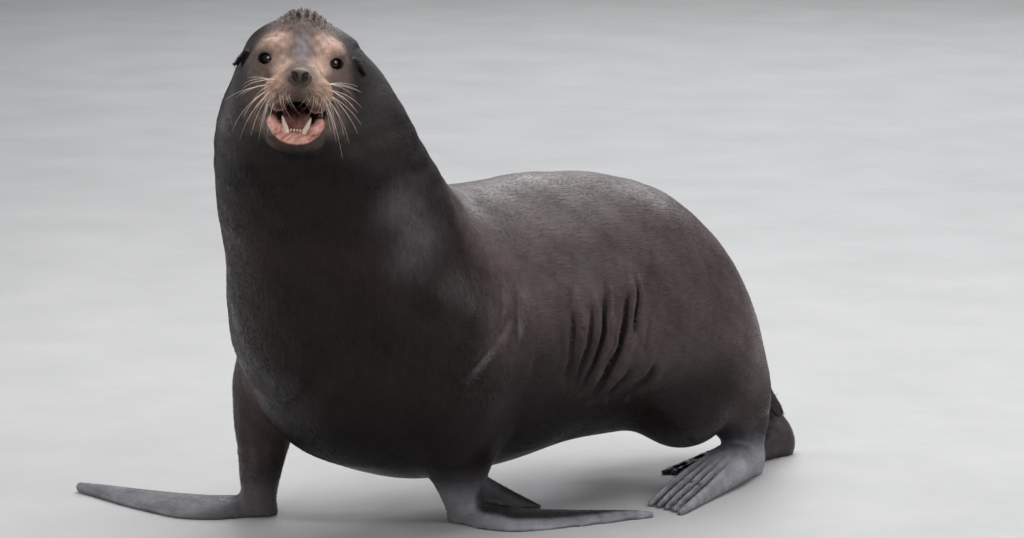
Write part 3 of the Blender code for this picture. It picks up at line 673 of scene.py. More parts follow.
def arc(start, end, bow, count=9):
    """Points from start to end on a curve that bows by a vector."""
    t = np.linspace(0, 1, count)[:, None]
    start, end, bow = (np.array(v, float) for v in (start, end, bow))
    return start + (end - start) * t + bow * 4 * t * (1 - t)


def lines_of(rows):
    """(line, depth, half width) of each crease in a table."""
    return [(arc(*ends), depth, width) for *ends, depth, width in rows]


def flank_relief(p):
    """The folds that the bent body has on its left flank, and shallower ones on its right."""
    relief = np.zeros(len(p))
    t = np.linspace(0, 1, 12)
    for side, share in ((LEFT, 1.0), (RIGHT, 0.35)):
        near = within(p * (side, 1, 1), (0.12, OPEN), (-0.08, 0.4), (0.17, 0.6))
        flat = p[near][:, 1:]
        flat = flat + 0.004 * np.stack([wave(p[near], 5, 0.08), wave(p[near], 6, 0.06)], -1)
        found = np.zeros(len(flat))
        for y, z, y_low, z_low, depth, width in FOLDS:
            line = np.stack([y + (y_low - y) * t**1.8, z + (z_low - z) * t], -1)
            d, at = distance_to(flat, line)
            fade = step_up(at, 0.0, 0.45) * step_up(at, 1.0, 0.72)
            found += share * depth * groove(d, width * (0.75 + 0.4 * at)) * fade
        relief[near] = found
    return relief


def crease_lines():
    """(line, depth, half width) of the creases behind the left shoulder and round both wrists."""
    rows = list(SHOULDER_CREASES)
    out, ahead = 0.07, 0.05
    for side in SIDES:
        _, x, y, _, _ = FORE_ARMS[side][1]
        for k, (z, depth) in enumerate(WRIST_CREASES):
            middle = np.array((x, y + 0.004 * k, z))
            rows.append((middle + (side * out, -ahead, 0), middle + (-side * 0.02, -out, -0.004),
                         (side * 0.02, -0.03, 0), depth, 0.006))
    return [(settle(line, skin_formula, 4, 0.02), depth, width) for line, depth, width in lines_of(rows)]


def add_creases(relief, p, lines, margin, end, power):
    """Adds creases that fade out at both ends. Nothing changes beyond a margin round them."""
    for line, depth, width in lines:
        near = within(p, *zip(line.min(0) - margin, line.max(0) + margin))
        d, at = distance_to(p[near], line)
        relief[near] += depth * groove(d, width) * np.sin(np.pi * np.clip(at, end, 1 - end)) ** power


def add_digits(relief, p, side):
    """Adds the digits under the skin of a fore flipper, and the crinkled skin between them."""
    size = FLIPPERS[side][2]
    q = in_frame(p, FLIPPER_BACK[side])
    on = (p[:, 2] < 0.07) & within(q, (-0.13, 0.13), (0.02, 0.47 * size))
    out = q[on][:, 1] / size
    found = np.zeros(on.sum())
    for lead, trail in ((0.03, -0.03), (0.012, -0.036), (-0.01, -0.042), (-0.03, -0.046)):
        across = q[on][:, 0] - (lead + 0.05 + (trail - lead - 0.05) * out / BLADE[-1][0])
        found -= 0.0017 * bell(across, 0.009) * step_up(out, 0.03, 0.12)
    crinkle = ripple(out, 0.013, 1.6 * wave(p[on], 31, 0.05))
    found += 0.00022 * crinkle * np.clip(wave(p[on], 32, 0.05), 0, 1)
    relief[on] += found * step_up(p[on][:, 2], 0.003, 0.012)


def between_toes(p, side):
    """1 in the webs between the toes of a hind foot, and 0 on the toes and elsewhere."""
    q = in_frame(p, FOOT_BACK[side])
    spread = np.interp(q[:, 1], (0.08, 0.2, 0.32, 0.45), (0.6, 0.9, 1.02, 1.1))
    nearest = np.min([np.abs(q[:, 0] + side * across * spread) for across, _ in TOES], axis=0)
    on = (q[:, 2] > 0.003) & (np.abs(q[:, 0]) < 0.05 * spread) & (p[:, 2] < 0.12)
    return on * step_up(nearest, 0.0028, 0.0066) * step_up(q[:, 1], 0.16, 0.29) * step_up(q[:, 1], 0.47, 0.43)


def add_webs(relief, p, side):
    """Adds the webs between the toes of a hind foot, which lie in, and wrinkles across the toes."""
    q = in_frame(p, FOOT_BACK[side])
    on = (p[:, 2] < 0.07) & within(q, (-0.09, 0.09), (-0.04, 0.52))
    crinkle = ripple(q[on][:, 1], 0.012, 2.0 * wave(p[on], 33, 0.04))
    relief[on] += 0.00018 * crinkle * np.clip(wave(p[on], 34, 0.04), 0, 1)
    relief[on] += (0.0042 if side == LEFT else 0.0015) * between_toes(p[on], side)


def body_relief(p):
    """How far the skin lies in, or out where less than nothing: folds, creases, digits and webs."""
    _, y, z = p.T
    relief = flank_relief(p)
    add_creases(relief, p, crease_lines(), 0.06, 0.03, 0.7)
    # the right arm runs into the shoulder without a ledge
    ledge = step_up(z, 0.27, 0.4) * step_up(z, 0.44, 0.4) * (p[:, 0] < -0.2)
    relief += 0.017 * ledge * step_up(y, -0.495, -0.45) * step_up(y, -0.28, -0.4)
    # rings of loose skin round the neck, where it turns
    ring = ripple(z - 0.25 * y + 0.012 * wave(p, 11, 0.35), 0.052)
    neck = step_up(z, 0.6, 0.72) * step_up(z, 0.93, 0.84)
    relief += 0.0011 * ring * neck * (0.5 + 0.5 * wave(p, 12, 0.22))
    # muscle under wet skin
    soft = step_up(z, 0.14, 0.26) * step_up(z, 1.0, 0.85)
    relief += soft * (0.0016 * wave(p, 21, 0.17) + 0.0007 * wave(p, 22, 0.07))
    for side in SIDES:
        add_digits(relief, p, side)
        add_webs(relief, p, side)
    return relief


def gum_relief(q):
    """The folds of the gums, in the head's frame."""
    relief = np.zeros(len(q))
    for line, depth, width in lines_of(GUM_CREASES):
        relief += depth * groove(distance_to(folded(q), line)[0], width)
    return relief


def face_relief(q):
    """The creases of the face, the folds of the gums and the mounds of the pads, in the head's frame."""
    relief = np.zeros(len(q))
    add_creases(relief, folded(q), lines_of(FACE_CREASES), 0.03, 0.05, 0.6)
    mouth = within(q, y=(-OPEN, -0.03), z=(-0.175, -0.1)) & (MOUTH_OUTSIDE(q) < 0.004)
    relief[mouth] += gum_relief(q[mouth]) + 0.0007 * wave(q[mouth], 72, 0.009)
    # rows of small mounds that hold the whiskers
    x, y, z = folded(q).T
    pad = ((x - 0.046) / 0.026) ** 2 + ((y + 0.082) / 0.04) ** 2 + ((z + 0.06) / 0.026) ** 2 < 1.6
    y, z = y[pad], z[pad]
    rows = ripple(z + 0.2 * y, 0.0085) * ripple(y + 0.3 * z, 0.012)
    relief[pad] -= 0.0007 * np.clip(rows, -0.3, 1)
    return relief


def on_left_flank(p):
    return within(p, (0.13, OPEN), (-0.24, 0.33), (0.17, 0.56))


def detailed(p):
    """Where the mesh of the skin is finer: on the face, the left flank and the left hind foot."""
    face = within(in_head(p), (-0.128, 0.128), (-OPEN, 0.062), (-0.21, 0.075))
    foot = within(p, z=(0.001, 0.1)) & within(in_frame(p, FOOT_BACK[LEFT]), (-0.1, 0.1), (-0.02, OPEN))
    return face | on_left_flank(p) | foot


def most_detailed(p):
    """Where it is finer again: round the eyes and the nose, and in the folds of the flank."""
    q = folded(in_head(p))
    eye = away(q, np.add(EYE_PLACE, (0.008, -0.01, 0))) < 0.034
    nose = away(q, (0.0, -0.125, -0.038)) < 0.032
    return eye | nose | (on_left_flank(p) & (np.abs(flank_relief(p)) > 0.0008))


def skin_mesh():
    axes = [axis_of(-0.657, 0.46, (0.0, 0.315)), axis_of(-0.747, 0.96, (-0.747, -0.414)),
            axis_of(-0.018, 1.14, (-0.018, 0.113), (0.8, 1.14))]
    points, quads = surface_of(values_on(axes, skin_formula), axes)
    made = mesh_object("skin", settle(points, skin_formula, 1), quads)
    refine(made.data, detailed)
    set_vertices(made.data, settle(vertices_of(made.data), skin_formula, 1))
    refine(made.data, most_detailed)
    points = settle(vertices_of(made.data), skin_formula, 2, 0.002)
    slope = unit(slope_of(points, skin_formula))
    relief = body_relief(points)
    q = in_head(points)
    on_face = within(q, (-0.14, 0.14), (-OPEN, 0.09), (-0.22, OPEN)) & (points[:, 2] > 0.75)
    relief[on_face] += face_relief(q[on_face])
    relief *= step_up(points[:, 2], 0.002, 0.012)  # the soles stay flat
    points = points - slope * relief[:, None]
    points[:, 2] = np.maximum(points[:, 2], 0)
    set_vertices(made.data, points)
    return made


# ---------------------------------------------------------------- colour and finish of each place
BROWN_BLACK = np.array((0.008, 0.0056, 0.0053))
CHEST = np.array((0.015, 0.0102, 0.009))
FLANK = np.array((0.063, 0.05, 0.0475))
BACK = np.array((0.062, 0.052, 0.05))
LEG = np.array((0.03, 0.0225, 0.0205))
SHEEN = np.array((0.06, 0.057, 0.061))
# the flippers' leather, with a bluish-grey painted sheen in its colour
FLIPPER_LEATHER_AND_SHEEN = np.array((0.135, 0.148, 0.162))
HEEL = np.array((0.085, 0.058, 0.043))
CROWN = np.array((0.15, 0.118, 0.112))
BETWEEN = np.array((0.26, 0.222, 0.23))
TAN = np.array((0.54, 0.362, 0.285))
FACE = np.array((0.135, 0.094, 0.078))
MUZZLE_TAN = np.array((0.54, 0.34, 0.248))
NOSE = np.array((0.066, 0.05, 0.041))
RIM = np.array((0.012, 0.008, 0.007))
GUM = np.array((0.74, 0.405, 0.345))
GUM_RED = np.array((0.46, 0.165, 0.11))
PAINTED_THROAT_SHADE = np.array((0.03, 0.008, 0.007))
LIP = np.array((0.075, 0.045, 0.036))


def layered(colour, *coats):
    """The colour with others over it, one after the other, each with its share at each place."""
    for over, share in coats:
        colour = colour + (over - colour) * np.clip(share, 0, 1)[:, None]
    return colour


def on_head(p):
    """The places in the head's frame, and 1 on the head but 0 on the neck."""
    q = in_head(p)
    return q, step_up(q[:, 1], 0.2, 0.09) * step_up(p[:, 2], 0.78, 0.84)


def past_shoulder(p):
    """How far back each place is, from a line that leans back up the shoulders."""
    return p[:, 1] - 0.35 * (p[:, 2] - 0.45)


def coat_colour(p, spread, behind):
    """The colour of the coat below the head; behind is 0 on the chest and 1 behind the shoulders."""
    x, y, z = p.T
    # the middle of a painted sheen on the left side of the neck
    side = away(p, (0.24, -0.35, 0.66), (0.13, 0.12, 0.14))
    colour = layered(
        np.tile(CHEST, (len(p), 1)),
        (FLANK, behind),
        (BACK, behind * step_up(z + 0.04 * spread, 0.46, 0.66) * step_up(y, 0.75, 0.45)),
        (LEG, step_up(z, 0.3, 0.16) * step_up(y, 0.05, 0.3)),
        (BROWN_BLACK, (1 - behind) * step_up(z, 0.62, 0.4) * step_up(z, 0.05, 0.14) * 0.6),
        (BROWN_BLACK * 0.8, (1 - behind) * step_up(z, 0.6, 0.76) * 0.85),
        # painted sheen: a soft bluish-grey reflection on the left side of the neck
        (SHEEN, (1 - behind) * step_up(side, 1.1, 0.2) * (0.6 + 0.5 * wave(p, 42, 0.16))),
        # painted light on the shaded side of the right arm, as light as the flank
        (FLANK, 0.7 * step_up(x, -0.13, -0.17) * step_up(z, 0.38, 0.28) * step_up(y, 0, -0.1)),
        (BACK * 1.7, 0.9 * step_up(y, 0.46, 0.66) * step_up(z, 0.16, 0.28) * step_up(z, 0.62, 0.5)),
    )
    # soft lighter streaks down the chest
    for ends, width in ((((-0.27, -0.46, 0.36), (-0.12, -0.56, 0.24)), 0.045),
                        (((-0.06, -0.6, 0.3), (0.1, -0.52, 0.2)), 0.05)):
        d, _ = distance_to(p, arc(*ends, (0, 0, -0.02)))
        colour = layered(colour, (LEG, 0.55 * bell(d, width)))
    return colour


def bare_skin_and_painted_shade(p, colour, low):
    """The colour with the flippers' bare skin and painted sheen, where low is 1, and painted shade over it.
    """
    x, y, z = p.T
    q = in_frame(p, FLIPPER_BACK[RIGHT])
    past_wrist = np.maximum(0.42 + 0.58 * step_up(q[:, 1], 0.0, 0.14), np.maximum(x > -0.05, y > 0))
    paler = np.where(y > 0.3, 1.75, np.where(x > -0.05, 1.35, 1.0))
    q = in_frame(p, FLIPPER_BACK[LEFT])  # painted shade on the near flipper, behind its thick front edge
    front_edge = np.interp(q[:, 1] / FLIPPERS[LEFT][2], [row[0] for row in BLADE], [row[1] for row in BLADE])
    shade_behind_front_edge = step_up(front_edge - q[:, 0], 0.02, 0.042) * step_up(q[:, 1], -0.01, 0.05)
    above_wrist = step_up(z, 0.09, 0.17)
    # painted shade under the body and low on the left flank
    under = step_up(z, 0.36, 0.22) * above_wrist * step_up(x, -0.15, -0.02)
    shade_low_on_flank = step_up(z, 0.46, 0.32) * above_wrist * step_up(y, 0.16, 0.04) * step_up(y, -0.32, -0.2)
    heel = bell(away(p, (-0.01, 0.84, 0.08), (0.1, 0.12, 0.09)), 1)
    return layered(
        colour,
        (FLIPPER_LEATHER_AND_SHEEN * 0.4, 0.7 * past_wrist * step_up(z, 0.17, 0.1)),
        # the flippers' leather and its painted sheen, paler on the hind feet and the near fore flipper
        (paler[:, None] * FLIPPER_LEATHER_AND_SHEEN, low * past_wrist),
        # painted shade behind the near flipper's thick front edge
        (BROWN_BLACK * 1.2, 0.9 * low * shade_behind_front_edge * (y < 0.25) * (x > 0)),
        (BROWN_BLACK * 0.8, 0.92 * under * step_up(y, 0.62, 0.5)),  # painted shade under the left arm, on the belly and on the thigh
        # painted shade low on the left flank
        (BROWN_BLACK * 0.9, 0.8 * shade_low_on_flank * (x > 0)),
        (BROWN_BLACK * 1.5, low * (y > 0.3) * step_up(x, 0.07, 0.03) * 0.9),  # painted shade on the far hind foot
        (HEEL * 0.7, heel * (0.4 + 0.35 * wave(p, 43, 0.03))),
        # painted shade in the webs between the toes
        (BROWN_BLACK, 0.95 * between_toes(p, LEFT)),
        (BROWN_BLACK, 0.95 * between_toes(p, RIGHT)),
        # painted shade in the folds of the flank
        (BROWN_BLACK * 0.7, 0.92 * step_up(flank_relief(p), 0.0022, 0.0085)),
    )


def mouth_colour(p, q):
    """The pink of the gums, redder in their folds, painted light on their sides, painted shade at the back.
    """
    x, y, z = folded(q).T
    # where painted shade covers the back and the roof of the mouth
    shaded_back_and_roof = np.maximum(step_up(y, -0.02, 0.03), step_up(z, -0.11, -0.094) * step_up(x, 0.052, 0.04))
    return layered(
        np.tile(GUM, (len(p), 1)),
        (GUM_RED, 0.45 + 0.5 * wave(p, 71, 0.011)),
        (GUM_RED, 0.8 * step_up(gum_relief(q), 0.0006, 0.0022)),
        # painted light on the sides of the gums
        (GUM * 1.15, 0.6 * blob(q, (0.04, -0.085, -0.128), (0.018, 0.03, 0.018))),
        # painted shade over the throat and the roof of the mouth
        (PAINTED_THROAT_SHADE, shaded_back_and_roof),
    )


def face_coat(p, q):
    """The colour of the coat of the head: tan round the eyes and on the muzzle, with streaked pads."""
    x, y, z = folded(q).T
    crown = step_up(z, 0.02, 0.07) * step_up(x, 0.095, 0.04) * step_up(y, 0.17, 0.09)
    sides = step_up(x + 0.006 * wave(p, 49, 0.04), 0.125, 0.07)
    turn = np.arctan2(x - 0.004, -0.03 - z)  # round the nose, from straight down
    streaks = wave(np.stack([turn * 0.05, 0.16 * np.linalg.norm(q, axis=1), 0 * turn], -1), 50, 0.0075)
    striped = on_pads(q) * step_up(z, -0.03, -0.052)
    face = layered(
        np.tile(BROWN_BLACK * 2.2, (len(p), 1)),
        (CROWN, crown),
        (FACE, step_up(y, 0.07, 0.0) * sides * step_up(z, -0.165, -0.12)),
        (TAN, 0.84 * blob(q, (0.05, 0.0, 0.03), (0.054, 0.062, 0.042))),
        (TAN, 0.85 * blob(q, (0.037, -0.045, -0.012), (0.036, 0.062, 0.036))),
        (BETWEEN, 0.85 * blob(q, (0.0, -0.02, 0.026), (0.028, 0.08, 0.044))),
        (MUZZLE_TAN, 0.95 * blob(q, (0.044, -0.085, -0.06), (0.044, 0.066, 0.052))),
        (FACE * 0.8, 0.85 * striped * step_up(streaks, 0.0, 0.7)),
        (MUZZLE_TAN * 1.35, 0.8 * striped * step_up(streaks, -0.1, -0.8)),
        (FACE * 0.6, 0.9 * blob(q, (0.0, -0.125, -0.07), (0.022, 0.05, 0.03))),
        # dark brown chin, with painted shade under it
        (MUZZLE_TAN * 0.09, 0.95 * blob(q, (0.03, -0.08, -0.168), (0.06, 0.06, 0.022))),
    )
    return face * (1 + 0.2 * wave(p, 46, 0.02) + 0.12 * wave(p, 47, 0.007))[:, None]


def face_colour(p, q):
    """(colour, nose, inside): the head's colour, and where the bare nose and the inside of the mouth are."""
    _, y, z = q.T
    nose = step_up(away(q, NOSE_MIDDLE, (0.0245, 0.019, 0.0195)), 1.08, 0.94)
    nostril = np.minimum(*[away(q, (side * 0.0105, -0.134, -0.031), (0.0075, 0.01, 0.0095))
                           for side in SIDES])
    ear = np.minimum(*[away(in_frame(p, EAR_BACK[side]), 0, (0.024, 0.03, 0.024)) for side in SIDES])
    mouth = MOUTH_OUTSIDE(q)
    inside = step_up(mouth + 0.0055 * step_up(z, -0.135, -0.115), 0.006, 0.002)
    face = layered(
        face_coat(p, q),
        (RIM, step_up(away(folded(q), EYE_PLACE), 0.035, 0.0245) * 0.92),
        (FACE * 0.6, 0.85 * blob(q, (0.08, 0.0, -0.006), (0.026, 0.04, 0.022))),
        (NOSE, nose),
        # painted highlight on the top of the nose
        (BETWEEN * (1.0, 0.92, 0.78), 0.6 * blob(q, (0, -0.116, -0.014), (0.024, 0.02, 0.01))),
        # near-black painted shade in the nostril slits
        (RIM * 0.3, step_up(nostril, 1.15, 0.75) * step_up(y, -0.136, -0.1325)),
        (RIM, 0.9 * step_up(ear, 1.0, 0.6)),
        (LIP, step_up(mouth, 0.009, 0.004) * step_up(z, -0.16, -0.14) * 0.9),
        (mouth_colour(p, q), inside),
    )
    return face, nose, inside


def marks(p):
    """(colour, wetness, fineness, neck) at each place: a colour, then 0 to 1 for how wet the coat is, for
    how short it is or how bare the skin, and for how far it lies down the neck, not along the trunk."""
    x, y, z = p.T
    spread = wave(p, 41, 0.3)
    right = step_up(x, 0.06, -0.12)  # the change of colour is softer on the right side
    behind = step_up(y + 0.06 * (z - 0.4) + 0.02 * spread, -0.245 - 0.08 * right, -0.135 + 0.12 * right)
    low = step_up(z, 0.11, 0.048)
    colour = bare_skin_and_painted_shade(p, coat_colour(p, spread, behind), low) * (1.05, 0.93, 0.92)
    colour = colour * (1 + 0.13 * wave(p, 44, 0.12) + 0.1 * wave(p, 45, 0.035))[:, None]  # mottled
    q, head = on_head(p)
    face, nose, inside = face_colour(p, q)
    colour = layered(colour, (face, head))
    leather = np.maximum(low, head * np.maximum(nose, inside))
    short = head * step_up(q[:, 1], 0.1, 0.02)
    wet = 0.55 + 0.25 * wave(p, 48, 0.16) + 0.45 * leather - 0.35 * short * (1 - leather)
    wet = wet + 0.25 * step_up(z, 0.6, 0.35) * (1 - behind)
    neck = (1 - step_up(past_shoulder(p), -0.16, -0.02)) * step_up(z, 0.1, 0.22)
    fine = np.maximum(leather, short)
    return np.clip(colour, 0.002, 0.9), np.clip(wet, 0, 1), np.clip(fine, 0, 1), np.clip(neck, 0, 1)


def paint(data, places, shades=None):
    """Stores the markings of each vertex. Places are in the form frame, and shades has a row for each
    place: how light each of the vertices that belong to it is."""
    colour, wet, fine, neck = marks(places)
    finish = np.stack([wet, fine, neck], -1)
    if shades is not None:
        many = shades.shape[1]
        colour = np.repeat(colour, many, 0) * shades.reshape(-1, 1)
        finish = np.repeat(finish, many, 0)
    store(data, "tint", colour)
    store(data, "finish", finish)


# ---------------------------------------------------------------- materials
def feed(tree, socket, value):
    """Sets a socket to a value, or links it to the output that is given."""
    if isinstance(value, bpy.types.NodeSocket):
        tree.links.new(value, socket)
    else:
        socket.default_value = value


def new_node(tree, kind, settings=None, **inputs):
    """A shader node with its settings, and its inputs set or linked; _ in an input's name is a space."""
    node = tree.nodes.new("ShaderNode" + kind)
    for key, value in (settings or {}).items():
        setattr(node, key, value)
    for key, value in inputs.items():
        feed(tree, node.inputs[key.replace("_", " ")], value)
    return node


def new_material(name, **values):
    """(material, tree, shader), with the shader's uniform values set."""
    material = bpy.data.materials.new(name)
    material.use_nodes = True
    tree = material.node_tree
    shader = tree.nodes["Principled BSDF"]
    for key, value in values.items():
        shader.inputs[key.replace("_", " ")].default_value = value
    return material, tree, shader


def maths(tree, operation, *values):
    node = new_node(tree, "Math", {"operation": operation})
    for socket, value in zip(node.inputs, values):
        feed(tree, socket, value)
    return node.outputs[0]


def scaled(tree, value, by, plus):
    return maths(tree, "MULTIPLY_ADD", value, by, plus)


def mix_values(tree, share, a, b):
    node = new_node(tree, "Mix", {"data_type": "FLOAT"})
    for index, value in zip((0, 2, 3), (share, a, b)):
        feed(tree, node.inputs[index], value)
    return node.outputs[0]


def noise(tree, scale, stretch=(1, 1, 1), detail=2.0, roughness=0.5):
    where = new_node(tree, "TexCoord").outputs["Object"]
    stretched = new_node(tree, "Mapping", Vector=where, Scale=stretch).outputs[0]
    texture = new_node(tree, "TexNoise", Vector=stretched, Scale=scale, Detail=detail, Roughness=roughness)
    return texture.outputs["Fac"]


def skin_shade(tree, fine, hair, short, patches):
    """How light the coat is: it varies in patches and from hair to hair."""
    coat_only = mix_values(tree, fine, scaled(tree, hair, 0.9, 0.55), 1.0)
    varied = maths(tree, "MULTIPLY", scaled(tree, patches, 0.9, 0.55), coat_only)
    return maths(tree, "MULTIPLY", varied, scaled(tree, short, 0.6, 0.7))


def skin_roughness(tree, wet, hair, patches):
    """Glossy where the coat is wet and slick, and duller in dry patches."""
    rough = scaled(tree, wet, -0.34, 0.6)
    rough = scaled(tree, patches, 0.2, maths(tree, "ADD", rough, -0.1))
    rough = scaled(tree, hair, 0.14, maths(tree, "ADD", rough, -0.07))
    return maths(tree, "MINIMUM", maths(tree, "MAXIMUM", rough, 0.16), 0.8)


def skin_material():
    """Wet coat and bare skin in one: the stored finish says which shows, and which way the coat lies."""
    material, tree, shader = new_material("wet coat", Specular_IOR_Level=0.18, Coat_Weight=0.04,
                                          Coat_Roughness=0.28)
    tint, finish = (new_node(tree, "Attribute", {"attribute_name": name}).outputs["Color"]
                    for name in ("tint", "finish"))
    wet, fine, neck = new_node(tree, "SeparateColor", Color=finish).outputs
    hair = mix_values(tree, neck, noise(tree, 1.0, (330, 42, 330), 3.0, 0.6),
                      noise(tree, 1.0, (330, 330, 42), 3.0, 0.6))
    clumps = mix_values(tree, neck, noise(tree, 1.0, (95, 20, 95)), noise(tree, 1.0, (95, 95, 20)))
    short = noise(tree, 520, detail=3.0)
    patches = noise(tree, 14, detail=5.0, roughness=0.62)
    cells = new_node(tree, "TexVoronoi", {"feature": "DISTANCE_TO_EDGE"},
                     Vector=new_node(tree, "TexCoord").outputs["Object"], Scale=300)
    crackle = scaled(tree, maths(tree, "MINIMUM", cells.outputs["Distance"], 0.18), 2.2, short)
    colour = new_node(tree, "VectorMath", {"operation": "SCALE"}, Vector=tint,
                      Scale=skin_shade(tree, fine, hair, short, patches)).outputs[0]
    feed(tree, shader.inputs["Base Color"], colour)
    feed(tree, shader.inputs["Roughness"], skin_roughness(tree, wet, hair, patches))
    fine_bump = new_node(tree, "Bump", Strength=0.55, Distance=0.0012,
                         Height=mix_values(tree, fine, hair, crackle)).outputs[0]
    soft_bump = new_node(tree, "Bump", Strength=0.35, Distance=0.003,
                         Height=mix_values(tree, fine, clumps, patches), Normal=fine_bump).outputs[0]
    feed(tree, shader.inputs["Normal"], soft_bump)
    return material


def plain_material(name, low, high, scale, rough, bump, **values):
    """A colour that wanders between two, with roughness and bump from the same kind of noise."""
    material, tree, shader = new_material(name, **values)
    ramp = new_node(tree, "ValToRGB", Fac=noise(tree, scale, detail=4.0))
    for stop, colour, place in zip(ramp.color_ramp.elements, (low, high), (0.32, 0.7)):
        stop.color, stop.position = (*colour, 1), place
    feed(tree, shader.inputs["Base Color"], ramp.outputs[0])
    fine = noise(tree, scale * 5, detail=3.0)
    feed(tree, shader.inputs["Roughness"], scaled(tree, fine, 0.3 * rough, rough * 0.85))
    if bump:
        node = new_node(tree, "Bump", Strength=0.5, Distance=bump, Height=fine)
        feed(tree, shader.inputs["Normal"], node.outputs[0])
    return material


def eye_material():
    material, tree, shader = new_material("eye", Specular_IOR_Level=0.45, Coat_Weight=0.2,
                                          Coat_Roughness=0.03)
    iris = new_node(tree, "Attribute", {"attribute_name": "iris"}).outputs["Fac"]
    streaky = scaled(tree, noise(tree, 260), 0.3, maths(tree, "MULTIPLY", iris, 0.8))
    ramp = new_node(tree, "ValToRGB", Fac=streaky)
    ramp.color_ramp.elements[0].color = (0.02, 0.012, 0.01, 1)
    ramp.color_ramp.elements[1].color = (0.006, 0.0038, 0.003, 1)
    feed(tree, shader.inputs["Base Color"], ramp.outputs[0])
    feed(tree, shader.inputs["Roughness"], scaled(tree, noise(tree, 40), 0.05, 0.05))
    return material


# ---------------------------------------------------------------- the coat
def skin_triangles(made):
    """(points, corners of each triangle) of a piece."""
    data = made.data
    data.calc_loop_triangles()
    return vertices_of(data), numbers_of(data.loop_triangles, "vertices", 3, np.int32).reshape(-1, 3)


def lie_of_coat(p):
    """The way the coat lies: back from the nose, down the neck, along the trunk and down the limbs."""
    x, y, z = p.T
    nothing = 0 * x

    def turned(way, other, share):
        return way + (other - way) * share[:, None]

    way = np.stack([nothing, 1 + nothing, -0.25 + nothing], -1)
    down = np.stack([0.15 * np.sign(x), 0.25 + nothing, -1 + nothing], -1)
    way = turned(way, down, 1 - step_up(past_shoulder(p), -0.2, 0.02))
    q, head = on_head(p)
    from_nose = unit(p - (HEAD @ (0, -0.15, -0.02, 1))[:3])
    way = turned(way, from_nose, head * step_up(q[:, 1], 0.16, 0.08))
    down = np.stack([0.55 * np.sign(q[:, 0]), 0.25 + nothing, -1 + nothing], -1) @ HEAD[:3, :3].T
    way = turned(way, down, on_pads(q) * (q[:, 2] < 0))
    for side in SIDES:
        near = step_up(away(p[:, :2], FLIPPERS[side][0]), 0.55, 0.35) * step_up(z, 0.12, 0.05) * (y < 0.2)
        way = turned(way, flipper_frame(side)[:3, 1], near * (x * side > -0.02))
    forward = foot_frame(LEFT)[:3, 1]
    return turned(way, forward / np.linalg.norm(forward), step_up(z, 0.16, 0.07) * (y > 0.25))


def unwrap(kind, p):
    """Where a place on the skin lies when that part of the skin is rolled out flat, 0 to 1 both ways."""
    x, y, z = p.T

    def round_about(across, along):
        return np.arctan2(across, along) / (2 * math.pi) + 0.5

    if kind == "head":
        q = in_head(p)
        return np.stack([round_about(q[:, 0], q[:, 2] + 0.05), (q[:, 1] + 0.16) / 0.42], -1)
    if kind == "neck":
        return np.stack([round_about(x - 0.02, -(y + 0.36)), (z - 0.1) / 0.95], -1)
    if kind == "limbs":
        return np.stack([(x + 0.66) / 1.15, (y + 0.72) / 1.64], -1)
    return np.stack([round_about(x, z - 0.38), (y + 0.45) / 1.3], -1)


LOCK_FACES = ((0, 1, 3), (0, 3, 2), (1, 4, 3), (3, 4, 2))  # root, left side, right side, ridge, tip
LOCK_SHADES = (0.85, 1.0, 1.0, 1.05, 1.12)  # of the same five points
LOCK_PATCH = ((0, -0.0015), (-0.0015, 0), (0.0015, 0), (0, 0), (0, 0.0015))  # and on the UV map


def scattered(rng, made_from, choose, count):
    """(places, normals) picked at random on a piece, most of them where choose(places, normals) is near 1."""
    points, corners = made_from
    a, b, c = (points[corners[:, k]] for k in range(3))
    normal = np.cross(b - a, c - a)
    area = np.linalg.norm(normal, axis=1)
    normal /= np.maximum(area, 1e-12)[:, None]
    weight = area * np.clip(choose((a + b + c) / 3, normal), 0, 1)
    index = rng.choice(len(area), count, p=weight / weight.sum())
    r, s = np.sqrt(rng.random(count))[:, None], rng.random(count)[:, None]
    return a[index] * (1 - r) + b[index] * r * (1 - s) + c[index] * r * s, normal[index]


def lock_points(rng, root, up, size, edge):
    """The five points of each lock. size(places) gives (length, width, lift), and edge is how far the
    sides slope down."""
    count = len(root)
    way = lie_of_coat(root) + 0.16 * rng.normal(size=(count, 3))
    way = unit(way - (way * up).sum(1)[:, None] * up)
    across = np.cross(up, way)
    spans = ((0.6, 1.25), (0.7, 1.3), (0.3, 1.2))  # of the length, the width and the lift
    length, width, lift = ((v * rng.uniform(*span, count))[:, None] for v, span in zip(size(root), spans))
    bend = 0.25 * length * rng.normal(0, 0.35, (count, 1)) * across
    mid = root + 0.45 * length * way + 0.75 * lift * up
    half, down = across * width / 2, edge * width * up
    tip = root + length * way + lift * up + bend
    return np.stack([root - 0.0006 * up, mid + half - down, mid - half - down,
                     mid + 0.5 * edge * width * up, tip], 1)


def lock_shades(rng, root, kind):
    """How light each lock is: on the head, they differ most on the pads and the crest."""
    shade = 1 + 0.26 * rng.uniform(-1, 1, len(root))
    if kind == "head":
        q = in_head(root)
        shade += 0.34 * on_pads(q) * rng.uniform(-1, 1, len(root))
        shade += 0.62 * crest_at(q) * np.clip(1.4 * wave(root * (1, 1, 0.4), 63, 0.012), -1, 1)
    return shade


def map_locks(data, root, kind):
    """The UV map: each lock is a small patch at its root's place on the rolled-out skin."""
    middle = 0.02 + 0.96 * np.clip(unwrap(kind, root), 0, 1)
    spots = (middle[:, None, :] + np.array(LOCK_PATCH)[None]).reshape(-1, 2)
    layer = data.uv_layers.new(name="OFBake")
    layer.data.foreach_set("uv", spots[numbers_of(data.loops, "vertex_index", kind=np.int32)].ravel())


